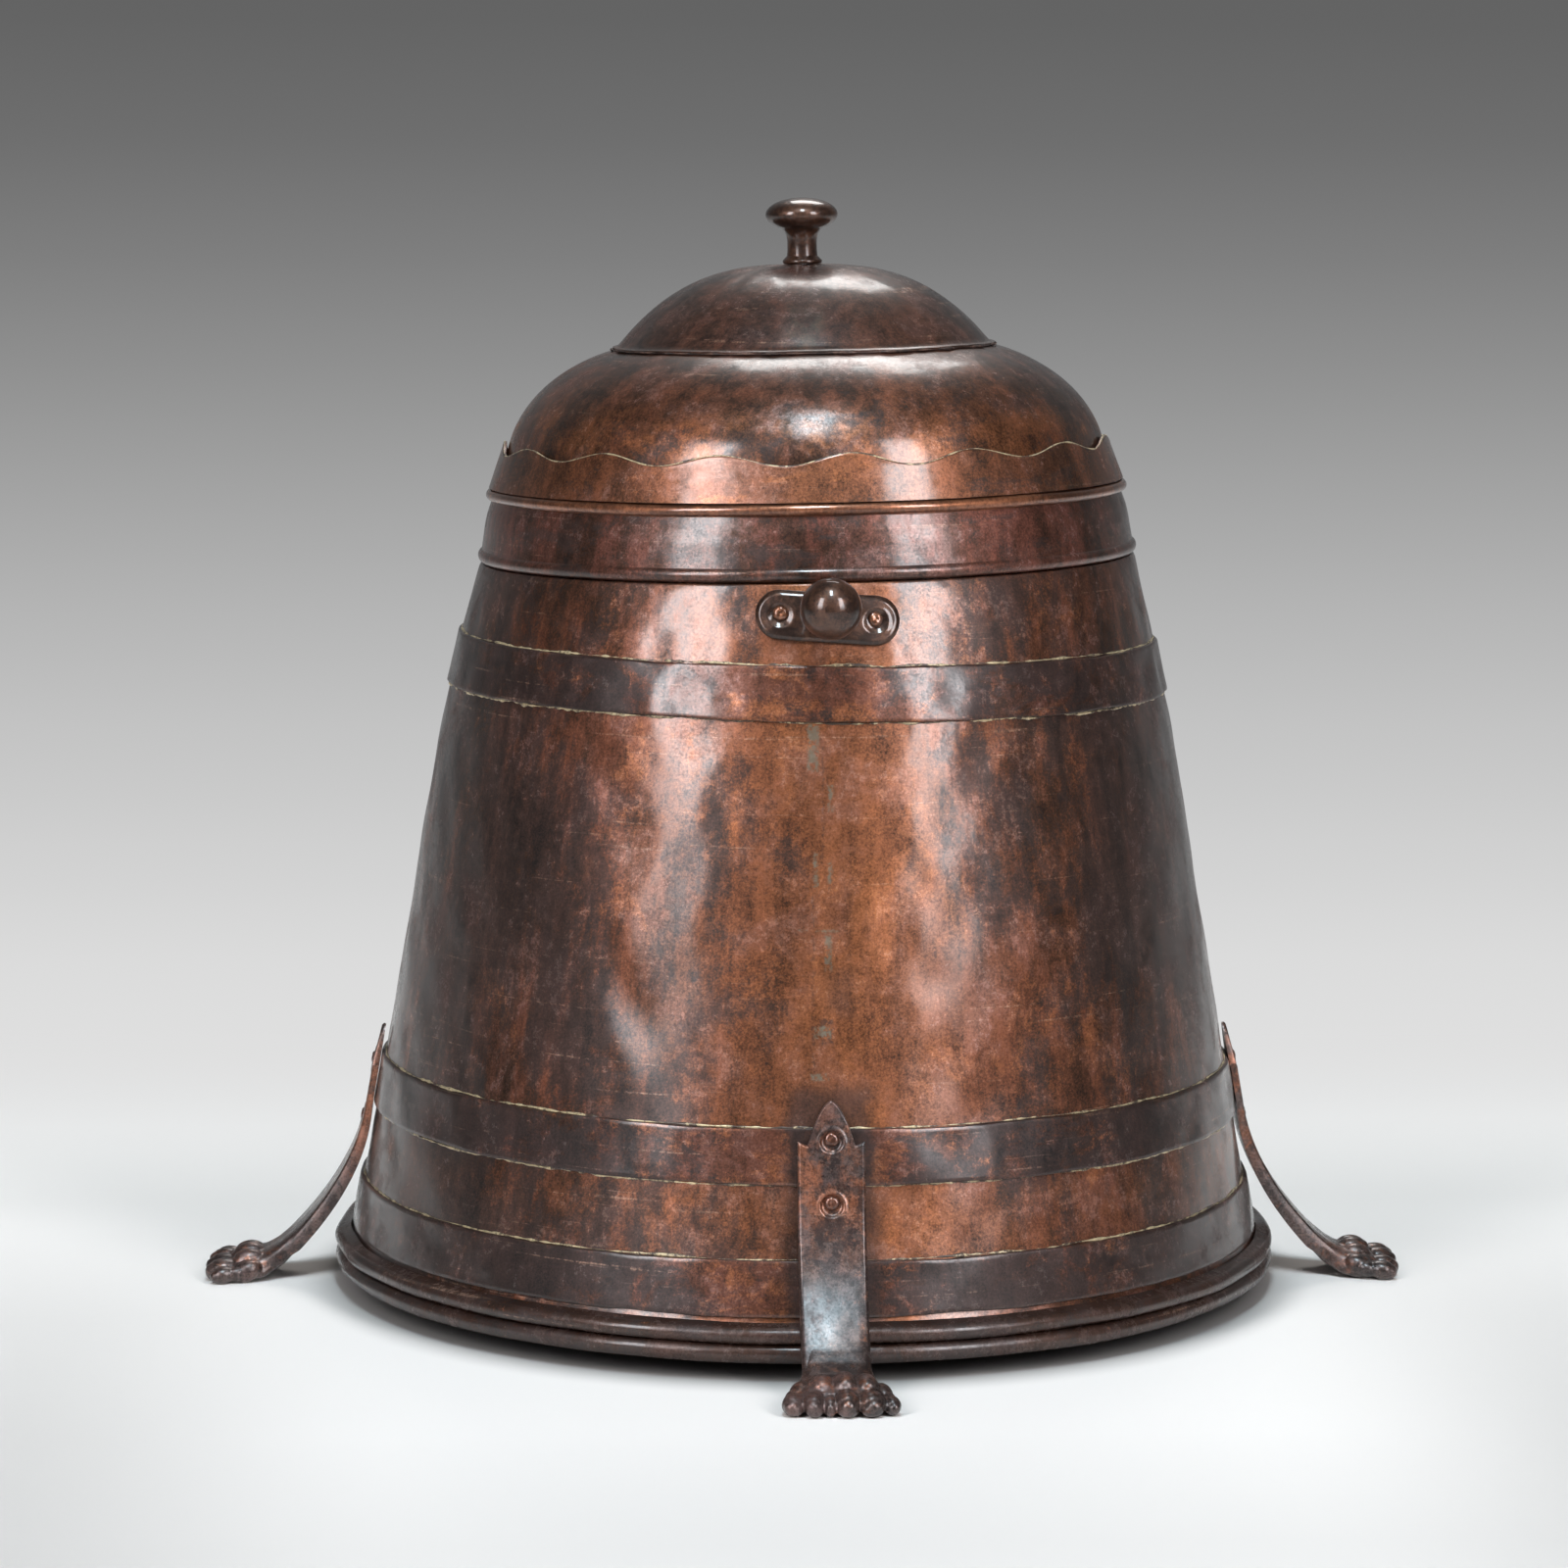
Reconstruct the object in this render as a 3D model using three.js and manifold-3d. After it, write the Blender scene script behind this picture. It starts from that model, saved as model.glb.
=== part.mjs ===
// A copper coal scuttle: a tapered sheet body hooped with strip copper, standing on four riveted
// straps with lion-paw feet, under a domed lid that lifts off its neck. Millimetres, +Z up, with the
// origin on the axis at floor level and the front along -Y. An azimuth of 0 is the front and 90
// degrees is +X.
import * as THREE from "three";
import { mergeVertices } from "three/addons/utils/BufferGeometryUtils.js";
import Module from "manifold-3d";

const wasm = await Module();
wasm.setup();

const degrees = Math.PI / 180;

// ---- Driving dimensions ----

const fit = 0.3; // clearance between two pieces that touch
const ringSteps = 32; // facets round the body and the lid
const turnedSteps = 14; // facets round knobs and washers

// Body wall: one tapered sheet, swelling a little outside a straight cone
const wallSheet = 1.2;
const wallFootRadius = 205.2; // outside, where the wall turns out onto the base
const wallMouthRadius = 147.6; // outside, just under the lid's seat
const wallRise = 303.8; // from the foot of the wall to the lid's seat
const wallSwell = 3.2; // most that the wall stands outside the straight cone
const swellPower = 2.5; // a higher power moves the swelling up the wall
const wallSteps = 6;
const leastStep = 1; // closer heights on the wall count as one
const mouthLean = 1.2 * degrees; // the wall's mouth and the lid are higher on the right
const leanRise = 33; // of the wall's leaning top, below the lid's seat

// Neck that the lid slips over, stiffened by a half-round hoop inside its mouth
const seatWidth = 6.4; // the lid's seat, from the wall's outside in to the neck
const neckSheet = 1.2;
const neckRise = 23; // above the lid's seat
const neckDepth = 12; // below the lid's seat
const hoopHeight = 7;
const hoopDepth = 3;
const hoopShoulder = 2.4; // depth of the hoop at a quarter and three quarters of its height

// Base: a round ring under a tray whose edge is rolled up over the flange of the wall
const standHeight = 7.6; // floor to the underside of the foot ring
const footWire = 8.4;
const footRingInset = 1.4; // middle of the foot ring inside the middle of the tray's roll
const traySheet = 1.2;
const trayRoll = 3.6; // outer radius of the rolled edge
const trayLip = 1.1; // height of the lip on the flange above the roll
const trayLipGap = 2.6; // from the wall's outside to the lip
const rimProjection = 9.8; // the tray's edge beyond the wall's outer face
const flangeWidth = 5.4;
const flangeDrop = 4; // the flange's edge below the foot of the wall
const flangeBend = [1.2, 1.5]; // where the wall turns out: beyond the wall's foot, above the edge

// Bands: strips round the wall, by the heights of their lower and upper edges
const bandSheet = 1.5;
const bands = {
  upper_band: { low: 272.4, high: 295.3, lean: 0.55 * degrees },
  lower_band: { low: 80.5, high: 103.7, lean: 0.3 * degrees },
  base_band: { low: 26.4, high: 49.2, lean: 0 },
};

// Lid: crown, shoulder, collar with a waved edge, bead, skirt rolled over a wire
const lidSheet = 1.2;
const lidSlip = 1; // round the neck
const rimWire = 4; // diameter of the wire in the lid's rolled edge
const rollSheet = 0.9;
const rollStart = 60 * degrees; // the roll goes from its outside, round under the wire
const rollEnd = -180 * degrees;
const rollSteps = 6;
const wireSteps = 9;
const creaseHeight = 7.6; // crease over the roll, above the seat
const creaseInset = 2; // inside the roll's outermost line
const skirtRise = 35.7; // seat to the top of the skirt
const skirtTaper = 9.6; // the roll's outside beyond the top of the skirt
const skirtConeHeight = 14; // of the skirt's steeper top, from its upper edge
const coneSlope = 0.36; // how fast the skirt's top and the collar widen downwards
const beadHeight = 5.4;
const beadDepth = 3.2;
const beadLevel = 30.5; // middle of the bead above the seat
const collarHeight = 20.2; // bead to the middle of the waved edge
const waves = 15;
const waveHeight = 4.8; // crest to trough
const waveStart = -7 * degrees; // azimuth of a trough
const waveSteps = 6;
const shoulderBase = 41.1; // level of the shoulder's widest place above the seat
const shoulderRise = 56;
const shoulderSpan = 75.5; // radial half axis of the shoulder's ellipse
const shoulderLap = 9; // how far the shoulder reaches in under the crown
const shoulderTurn = 7 * degrees; // where the ellipse gives way to the cone under the collar
const shoulderFoot = [0.72, 0.06]; // shares of the collar's height between which that cone runs
const crownRadius = 86;
const crownFlare = 4; // width over which the crown's curve turns out onto the shoulder
const crownFootWidth = 2.4; // flared edge that lies on the shoulder
const crownFootSheet = 1.27; // height of the sheet there, measured upright
const crownStations = [0.44, 0.72, 0.9, 1]; // shares of the crown's curve that its facets meet
const crownCurve = 85; // radius at which the crown's curve would meet the shoulder
const crownRise = 37;
const crownPower = 2.9; // a higher power gives a flatter top and steeper sides

// Lid knob, turned in one piece with a spigot through the crown
const knobRadius = 16.2;
const knobHeight = 15;
const knobStemRadius = 6.9;
const knobStemHeight = 11;
const knobWaist = 0.3; // the stem is this much thinner halfway up
const knobUndercut = 8.3; // radius at which the ball's underside starts
const knobFootRadius = 8.9;
const knobFootHeight = 3.4;
const spigotRadius = 3;
const washerRadius = 9;
const washerSheet = 1.4;
const nutRadius = 6.5;
const nutHeight = 4;
const spigotEnd = 2; // beyond the nut

// Knob handles on rounded plates, one at the front and one at the back
const handleAzimuths = { front: 0, rear: 180 * degrees };
const handleDrop = 14.2; // middle of the plate below the lid's seat
const plateLength = 61.5;
const plateHeight = 20.6;
const plateSheet = 3.4;
const plateLean = 3.5 * degrees; // right end down
const rivetSpacing = 40;
const ballRadius = 13;
const ballNeckRadius = 5.6;
const ballNeckLength = 6;
const ballFootRadius = 8.4;
const ballFootHeight = 1.6;
const tenonRadius = 3;
const tenonHeadRadius = 4.2; // spread over the washer
const handleWasherRadius = 7;

// Rivets
const rivetRadius = 1.6;
const rivetHeadRadius = 3.2;
const rivetHeadHeight = 2;
const seatRadius = 4.7; // sunk round each head
const seatDepth = 1;
const seatSteps = 10;
const burrRadius = 3.6; // clenched end inside the wall
const burrHeight = 1.3;
const burrTaper = 0.7; // radius of its end as a share of its widest
const rivetSteps = 8;
const pegReach = 14; // of the tools that cut the holes, each way from the wall

// Legs: a strap with an arched tip, and a paw
const legAzimuths = {
  front: 0,
  right: 87.7 * degrees,
  rear: 180 * degrees,
  left: -90 * degrees,
};
const strapWidth = 28.4;
const strapTop = 116.4; // tip of the arch above the floor
const strapSheet = 3.2; // where it is riveted
const strapTipSheet = 1.7;
const ankleSheet = 8;
const archHeight = 18.4;
const archWidth = 20;
const archShoulder = [1, 0.6]; // pull of the arch's curve: in from its side, and up by a share
const earHeight = 1.7;
const strapRivetHeights = [99.6, 73.3];
const strapLeaves = 80; // height at which the strap starts to bend away
const ankleReach = 30.8; // the ankle beyond the wall's foot
const ankleHeight = 19.8;
const ankleSlope = 44 * degrees;
const strapBend = [25, 22]; // pull of the curve's two ends
const instep = [
  { out: 10.5, height: 12.5 }, // the face beyond the ankle
  { out: 22, height: 11 },
  { out: 30, height: 6.5 },
];
const heel = [
  { out: 16, height: 0 }, // the underside, back from the floor
  { out: 10, height: 1.5 },
  { out: 2, height: 6.5 },
];
const spreadHeight = 14.5; // the strap widens into the paw below this
const spreadWidth = 43;
const pawLength = 39.4; // ankle to the tips of the middle toes
const soleHeight = 0;
const toes = [
  { side: -19.7, width: 8.9, length: 15, height: 8.6, back: 2.6 },
  { side: -11.5, width: 8.4, length: 15, height: 9.4, back: 0.8 },
  { side: -4.9, width: 6, length: 12, height: 8.6, back: 1.6 },
  { side: 2.3, width: 10, length: 16, height: 10, back: 0 },
  { side: 12.9, width: 11.3, length: 16, height: 9.8, back: 0.4 },
  { side: 21, width: 6.4, length: 13, height: 7.4, back: 3 },
];
const knuckleBack = 21; // middles of the knuckles behind the toes' tips
const knuckles = [
  { side: -15.9, width: 9, length: 15, height: 11.5 },
  { side: -7.4, width: 10, length: 17, height: 15 },
  { side: 2, width: 10.4, length: 18, height: 16 },
  { side: 10.6, width: 9.6, length: 17, height: 15 },
  { side: 17.8, width: 8, length: 14, height: 10.5 },
];
const pad = { side: 0, width: 44, length: 27, height: 8.4, back: 4 };
const lumpSink = 0.1; // part of a lump's height that the floor cuts off
const toeSides = 6;
const toeRings = 4;

// ---- Levels and radii that follow ----

const trayLevel = standHeight + footWire + fit;
const flangeLevel = trayLevel + 2 * trayRoll - traySheet - fit;
const wallFootLevel = flangeLevel + flangeDrop;
const seatLevel = wallFootLevel + wallRise;
const neckRadius = wallMouthRadius - seatWidth;
const rollRadius = rimWire / 2 + fit + rollSheet;
const rollCentre = neckRadius + lidSlip + rollRadius;
const ankleRadius = wallFootRadius + ankleReach;
const toeReach = ankleRadius + pawLength;

// ---- Solids ----

function triangles(geometry) {
  const bare = geometry.clone();
  bare.deleteAttribute("normal");
  bare.deleteAttribute("uv");
  return mergeVertices(bare, 1e-4);
}

// A closed geometry as a solid with its faces outward, whichever way its profile was drawn.
function solidOf(geometry) {
  const merged = triangles(geometry);
  const corners = merged.index.array;
  const kept = [];
  for (let i = 0; i < corners.length; i += 3) {
    const [a, b, c] = corners.slice(i, i + 3);
    if (a !== b && b !== c && c !== a) kept.push([a, b, c]);
  }
  const place = merged.attributes.position.array;
  const volume = kept.reduce((sum, face) => {
    const [p, q, r] = face.map((k) => new THREE.Vector3().fromArray(place, 3 * k));
    return sum + p.dot(q.cross(r));
  }, 0);
  const faces = volume > 0 ? kept : kept.map(([a, b, c]) => [a, c, b]);
  return new wasm.Manifold(
    new wasm.Mesh({
      numProp: 3,
      vertProperties: new Float32Array(place),
      triVerts: new Uint32Array(faces.flat()),
    }),
  );
}

function geometryOf(solid) {
  const mesh = solid.getMesh();
  return new THREE.BufferGeometry()
    .setAttribute("position", new THREE.BufferAttribute(mesh.vertProperties, 3))
    .setIndex(new THREE.BufferAttribute(mesh.triVerts, 1));
}

const cutAway = (solid, ...tools) => tools.reduce((rest, tool) => rest.subtract(tool), solid);
const joined = (...solids) => solids.reduce((sum, next) => sum.add(next));

// ---- Profiles, as [radius, height] points ----

const onAxis = ([radius]) => Math.abs(radius) < 1e-6;

// A profile revolved about Z. It starts and ends on the axis or is closed on itself.
function revolved(profile, steps = ringSteps) {
  const closed = onAxis(profile[0]) && onAxis(profile.at(-1)) ? profile : [...profile, profile[0]];
  const points = closed.map(([radius, height]) => new THREE.Vector2(radius, height));
  return new THREE.LatheGeometry(points, steps).rotateX(Math.PI / 2);
}

// The section of a sheet: its face, and its back one thickness away on the left of the face's way.
function sheetSection(face, thickness) {
  const normal = ([ax, ay], [bx, by]) => {
    const length = Math.hypot(bx - ax, by - ay);
    return [-(by - ay) / length, (bx - ax) / length];
  };
  const back = face.map((point, i) => {
    const first = normal(face[Math.max(i - 1, 0)], face[Math.max(i, 1)]);
    const second = normal(face[Math.min(i, face.length - 2)], face[Math.min(i + 1, face.length - 1)]);
    const spread = 1 + first[0] * second[0] + first[1] * second[1];
    const offset = [0, 1].map((k) => ((first[k] + second[k]) / spread) * thickness);
    return [onAxis(point) ? 0 : point[0] + offset[0], point[1] + offset[1]];
  });
  return [...face, ...back.reverse()];
}

// Points on an arc in a profile, from one angle to another.
function arcPoints([radius, height], size, from, to, steps) {
  return Array.from({ length: steps + 1 }, (_, i) => {
    const angle = from + ((to - from) * i) / steps;
    return [radius + size * Math.cos(angle), height + size * Math.sin(angle)];
  });
}

// ---- The wall's shape ----

function wallCurve(height) {
  const t = (height - wallFootLevel) / wallRise;
  const peak = swellPower / (swellPower + 1);
  const swell = (Math.max(t, 0) ** swellPower * (1 - t)) / (peak ** swellPower * (1 - peak));
  return wallFootRadius + (wallMouthRadius - wallFootRadius) * t + wallSwell * swell;
}

// Heights where the wall's facets meet: even steps to the foot of the leaning top, and the seat.
const stationHeights = [
  ...Array.from(
    { length: wallSteps },
    (_, i) => wallFootLevel + ((wallRise - leanRise) * i) / (wallSteps - 1),
  ),
  seatLevel,
];
const wallStations = stationHeights.map((height) => [wallCurve(height), height]);

// The outer radius of the faceted wall, straight from one station to the next.
function wallRadiusAt(height) {
  const below = stationHeights.findLastIndex((station) => station <= height);
  const i = THREE.MathUtils.clamp(below, 0, wallSteps - 1);
  const [[lowRadius, low], [highRadius, high]] = [wallStations[i], wallStations[i + 1]];
  return lowRadius + ((highRadius - lowRadius) * (height - low)) / (high - low);
}

// The wall's outline between two heights, moved out by an offset.
function wallPath(low, high, offset) {
  const between = stationHeights.filter((h) => h > low + leastStep && h < high - leastStep);
  return [low, ...between, high].map((height) => [wallRadiusAt(height) + offset, height]);
}

function ringOnWall(low, high, offset, thickness) {
  const inner = wallPath(low, high, offset);
  const outer = wallPath(low, high, offset + thickness);
  return revolved([...inner, ...outer.reverse()]);
}

// The radius of the faceted wall towards an azimuth: full at a corner, least amid a facet.
function facetRadiusAt(azimuth, height) {
  const facet = (2 * Math.PI) / ringSteps;
  const past = azimuth - facet * Math.floor(azimuth / facet + 1e-6) - facet / 2;
  return (wallRadiusAt(height) * Math.cos(facet / 2)) / Math.cos(past);
}

// Corners of a geometry above a height leaned about the middle of the seat, as the mouth is.
function leaned(geometry, above) {
  const place = geometry.attributes.position;
  const point = new THREE.Vector3();
  const middle = new THREE.Vector3(0, 0, seatLevel);
  const lean = new THREE.Matrix4().makeRotationY(-mouthLean);
  for (let i = 0; i < place.count; i += 1) {
    point.fromBufferAttribute(place, i);
    if (point.z > above) place.setXYZ(i, ...point.sub(middle).applyMatrix4(lean).add(middle));
  }
  return geometry;
}

// A frame on the wall: X to the right as seen from outside, Y up the wall, Z straight out of it.
function onWall(azimuth, height, turn = 0) {
  const reach = 1;
  const lean = Math.atan((wallRadiusAt(height - reach) - wallRadiusAt(height + reach)) / (2 * reach));
  return new THREE.Matrix4()
    .makeRotationZ(azimuth)
    .multiply(new THREE.Matrix4().makeTranslation(0, -facetRadiusAt(azimuth, height), height))
    .multiply(new THREE.Matrix4().makeRotationX(Math.PI / 2 - lean))
    .multiply(new THREE.Matrix4().makeRotationZ(-turn));
}

// How far the faceted wall falls away across a flat piece of the given radius.
const facetFall = (radius) => radius * Math.tan(Math.PI / ringSteps);

const pegThrough = (frame, radius, steps = rivetSteps) =>
  solidOf(
    new THREE.CylinderGeometry(radius, radius, 2 * pegReach, steps)
      .rotateX(Math.PI / 2)
      .applyMatrix4(frame),
  );

// A flat-bottomed tool over a rivet's head, which sinks a seat into a face at the given level.
const seatCutter = (frame, level) =>
  solidOf(
    new THREE.CylinderGeometry(seatRadius, seatRadius, pegReach, seatSteps)
      .rotateX(Math.PI / 2)
      .translate(0, 0, level + pegReach / 2)
      .applyMatrix4(frame),
  );

// A flat ring, such as a washer, whose upper face is at the given height.
function boredRing(bore, radius, top, height) {
  return revolved(
    [
      [bore, top - height],
      [radius, top - height],
      [radius, top],
      [bore, top],
    ],
    turnedSteps,
  );
}

// ---- Rivets ----

// Radii and heights along the rivet, with 0 on the wall's outer face: a clenched end inside the
// wall, the shank, and a domed head whose underside is at the given height.
function rivet(frame, headLevel) {
  const inside = -wallSheet - fit - facetFall(burrRadius);
  const dome = arcPoints([0, headLevel], 1, 0, Math.PI / 2, 2).map(([x, y]) => [
    x * rivetHeadRadius,
    headLevel + (y - headLevel) * rivetHeadHeight,
  ]);
  const profile = [
    [0, inside - burrHeight],
    [burrRadius * burrTaper, inside - burrHeight],
    [burrRadius, inside],
    [rivetRadius, inside],
    [rivetRadius, headLevel],
    ...dome,
  ];
  profile.at(-1)[0] = 0;
  return revolved(profile, rivetSteps).applyMatrix4(frame);
}

// ---- Legs ----

const strapBackOffset = fit + bandSheet + fit;

// The strap's outer face from its tip to the ankle, as radius and height.
function strapFace() {
  const onFace = (height, sheet) => [wallRadiusAt(height) + strapBackOffset + sheet, height];
  const archFoot = strapTop - archHeight;
  const leave = onFace(strapLeaves, strapSheet);
  const above = onFace(archFoot, strapSheet);
  const way = new THREE.Vector2(leave[0] - above[0], leave[1] - above[1]).normalize();
  const ankle = new THREE.Vector2(ankleRadius, ankleHeight);
  const arriving = new THREE.Vector2(Math.cos(ankleSlope), -Math.sin(ankleSlope));
  const start = new THREE.Vector2(...leave);
  const bend = new THREE.CubicBezierCurve(
    start,
    start.clone().addScaledVector(way, strapBend[0]),
    ankle.clone().addScaledVector(arriving, -strapBend[1]),
    ankle,
  );
  const bent = bend.getPoints(6).map(({ x, y }) => [x, y]);
  return [onFace(strapTop, strapTipSheet), above, ...bent];
}

const strapFacePoints = strapFace();

function strapFaceRadiusAt(height) {
  const i = strapFacePoints.findIndex(([, z]) => z <= height);
  const [[highRadius, high], [lowRadius, low]] = [strapFacePoints[i - 1], strapFacePoints[i]];
  return lowRadius + ((highRadius - lowRadius) * (height - low)) / (high - low);
}

// The strap's side view: its face down to the instep, and a back that is thicker towards the ankle
// and runs out on the floor.
function strapSide() {
  const [tip, archFoot, ...bent] = strapFacePoints;
  const last = bent.length - 1;
  const back = bent.map(([radius, height], i) => {
    const [nextRadius, nextHeight] = bent[Math.min(i + 1, last)];
    const [priorRadius, priorHeight] = bent[Math.max(i - 1, 0)];
    const way = new THREE.Vector2(nextRadius - priorRadius, nextHeight - priorHeight).normalize();
    const sheet = THREE.MathUtils.lerp(strapSheet, ankleSheet, i / last);
    return [radius + way.y * sheet, height - way.x * sheet];
  });
  const beyondAnkle = ({ out, height }) => [ankleRadius + out, height];
  const outline = [
    tip,
    archFoot,
    ...bent,
    ...instep.map(beyondAnkle),
    [ankleRadius + instep.at(-1).out, soleHeight],
    ...heel.map(beyondAnkle),
    ...back.reverse(),
    [archFoot[0] - strapSheet, archFoot[1]],
    [tip[0] - strapTipSheet, tip[1]],
  ];
  const shape = new THREE.Shape(outline.map(([radius, height]) => new THREE.Vector2(radius, height)));
  const depth = spreadWidth + strapWidth;
  return new THREE.ExtrudeGeometry(shape, { depth, bevelEnabled: false })
    .translate(0, 0, -depth / 2)
    .rotateX(Math.PI / 2)
    .rotateZ(-Math.PI / 2);
}

// The strap's front view: parallel sides that spread at the foot, two small pointed ears, and a
// pointed arch between them.
function strapFront() {
  const half = strapWidth / 2;
  const archFoot = strapTop - archHeight;
  const pull = [archWidth / 2 - archShoulder[0], archFoot + archHeight * archShoulder[1]];
  const shape = new THREE.Shape();
  shape.moveTo(-spreadWidth / 2, soleHeight);
  shape.lineTo(spreadWidth / 2, soleHeight);
  shape.lineTo(half, spreadHeight);
  shape.lineTo(half, archFoot + earHeight);
  shape.lineTo(archWidth / 2, archFoot);
  shape.quadraticCurveTo(pull[0], pull[1], 0, strapTop);
  shape.quadraticCurveTo(-pull[0], pull[1], -archWidth / 2, archFoot);
  shape.lineTo(-half, archFoot + earHeight);
  shape.lineTo(-half, spreadHeight);
  return new THREE.ExtrudeGeometry(shape, { depth: toeReach, bevelEnabled: false, curveSegments: 4 })
    .rotateX(Math.PI / 2);
}

// A rounded lump that stands on the floor, by its top's height and its tip's place behind the toes.
function lump({ side, width, length, height, back }) {
  return solidOf(
    new THREE.SphereGeometry(0.5, toeSides, toeRings)
      .rotateX(Math.PI / 2)
      .scale(width, length, height * (1 + lumpSink))
      .translate(side, length / 2 + back - toeReach, (height * (1 - lumpSink)) / 2),
  );
}

// A paw in the front leg's place: rows of toes and knuckles on a pad.
function paw() {
  const row = knuckles.map((knuckle) => lump({ ...knuckle, back: knuckleBack - knuckle.length / 2 }));
  return joined(lump(pad), ...toes.map(lump), ...row);
}

function belowFloor() {
  const size = 2 * toeReach;
  return solidOf(new THREE.BoxGeometry(size, size, size).translate(0, 0, soleHeight - size / 2));
}

// A leg in the front leg's place, with a seat and a hole for each rivet.
function leg(azimuth) {
  const strap = solidOf(strapSide()).intersect(solidOf(strapFront()));
  const toFront = new THREE.Matrix4().makeRotationZ(-azimuth);
  const frames = strapRivetHeights.map((height) => toFront.clone().multiply(onWall(azimuth, height)));
  const seats = frames.map((frame, i) =>
    seatCutter(frame, strapHeadLevel(azimuth, strapRivetHeights[i]) - fit),
  );
  const holes = frames.map((frame) => pegThrough(frame, rivetRadius + fit));
  return cutAway(joined(strap, paw()), belowFloor(), ...seats, ...holes);
}

// The underside of a strap rivet's head, out from the wall.
function strapHeadLevel(azimuth, height) {
  return strapFaceRadiusAt(height) - facetRadiusAt(azimuth, height) - seatDepth + fit;
}

// ---- Knob handles ----

const handleHeight = seatLevel - handleDrop;
const plateFace = fit + plateSheet;
const handleWasherTop = -wallSheet - fit - facetFall(handleWasherRadius);

// Where a plate's two rivets sit round the wall from its middle.
function plateRivetFrames(azimuth) {
  return [-1, 1].map((side) => {
    const turn = (side * rivetSpacing) / 2 / wallRadiusAt(handleHeight);
    const drop = (side * rivetSpacing * Math.sin(plateLean)) / 2;
    return onWall(azimuth + turn, handleHeight - drop);
  });
}

// A plate with round ends, bent to the wall.
function handlePlate(azimuth) {
  const half = plateHeight / 2;
  const run = plateLength / 2 - half;
  const shape = new THREE.Shape();
  shape.absarc(run, 0, half, -Math.PI / 2, Math.PI / 2);
  shape.absarc(-run, 0, half, Math.PI / 2, (3 * Math.PI) / 2);
  const depth = 2 * pegReach;
  const blank = new THREE.ExtrudeGeometry(shape, { depth, bevelEnabled: false, curveSegments: 4 })
    .translate(0, 0, -pegReach)
    .applyMatrix4(onWall(azimuth, handleHeight, plateLean));
  const reach = plateHeight;
  const low = handleHeight - reach;
  const high = Math.min(handleHeight + reach, seatLevel - wallSheet);
  const ring = leaned(ringOnWall(low, high, fit, plateSheet), high - wallSheet);
  const bent = solidOf(blank).intersect(solidOf(ring));
  const frames = plateRivetFrames(azimuth);
  const seats = frames.map((frame) => seatCutter(frame, plateFace - seatDepth));
  const holes = frames.map((frame) => pegThrough(frame, rivetRadius + fit));
  const bore = pegThrough(onWall(azimuth, handleHeight), tenonRadius + fit, turnedSteps);
  return cutAway(bent, ...seats, ...holes, bore);
}

// Ball, neck and foot on the plate, and a tenon through the wall that is peened over a washer.
function handleKnob(azimuth) {
  const inside = handleWasherTop - washerSheet - fit;
  const foot = plateFace + fit;
  const neckTop = foot + ballFootHeight + ballNeckLength;
  const sunk = Math.sqrt(ballRadius ** 2 - ballNeckRadius ** 2);
  const from = -Math.asin(sunk / ballRadius);
  const ball = arcPoints([0, neckTop + sunk], ballRadius, from, Math.PI / 2, 6);
  ball.at(-1)[0] = 0;
  const profile = [
    [0, inside - burrHeight],
    [tenonHeadRadius * burrTaper, inside - burrHeight],
    [tenonHeadRadius, inside],
    [tenonRadius, inside],
    [tenonRadius, foot],
    [ballFootRadius, foot],
    [ballFootRadius, foot + ballFootHeight / 2],
    [(ballNeckRadius + ballFootRadius) / 2, foot + ballFootHeight],
    ...ball,
  ];
  return revolved(profile, turnedSteps).applyMatrix4(onWall(azimuth, handleHeight));
}

function handleWasher(azimuth) {
  const ring = boredRing(tenonRadius + fit, handleWasherRadius, handleWasherTop, washerSheet);
  return ring.applyMatrix4(onWall(azimuth, handleHeight));
}

// ---- Body ----

function allHoles() {
  const legHoles = Object.values(legAzimuths).flatMap((azimuth) =>
    strapRivetHeights.map((height) => pegThrough(onWall(azimuth, height), rivetRadius + fit)),
  );
  const handleHoles = Object.values(handleAzimuths).flatMap((azimuth) => [
    ...plateRivetFrames(azimuth).map((frame) => pegThrough(frame, rivetRadius + fit)),
    pegThrough(onWall(azimuth, handleHeight), tenonRadius + fit, turnedSteps),
  ]);
  return [...legHoles, ...handleHoles];
}

// The wall: a flange at its foot, the swelling cone, and the lid's seat turned in to the neck.
function bodyWall() {
  const face = [
    [neckRadius + fit, seatLevel],
    ...wallStations.toReversed(),
    [wallFootRadius + flangeBend[0], flangeLevel + flangeBend[1]],
    [wallFootRadius + flangeWidth, flangeLevel],
  ];
  const sheet = revolved(sheetSection(face, -wallSheet));
  return cutAway(solidOf(leaned(sheet, seatLevel - 2 * wallSheet)), ...allHoles());
}

function neckCollar() {
  const inner = neckRadius - neckSheet;
  const low = seatLevel - neckDepth;
  const high = seatLevel + neckRise;
  const ring = revolved([
    [inner, low],
    [neckRadius, low],
    [neckRadius, high],
    [inner, high],
  ]);
  return leaned(ring, 0);
}

function mouthHoop() {
  const outer = neckRadius - neckSheet - fit;
  const middle = seatLevel + neckRise - hoopHeight / 2;
  const ring = revolved([
    [outer, middle - hoopHeight / 2],
    [outer, middle + hoopHeight / 2],
    [outer - hoopShoulder, middle + hoopHeight / 4],
    [outer - hoopDepth, middle],
    [outer - hoopShoulder, middle - hoopHeight / 4],
  ]);
  return leaned(ring, 0);
}

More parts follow.
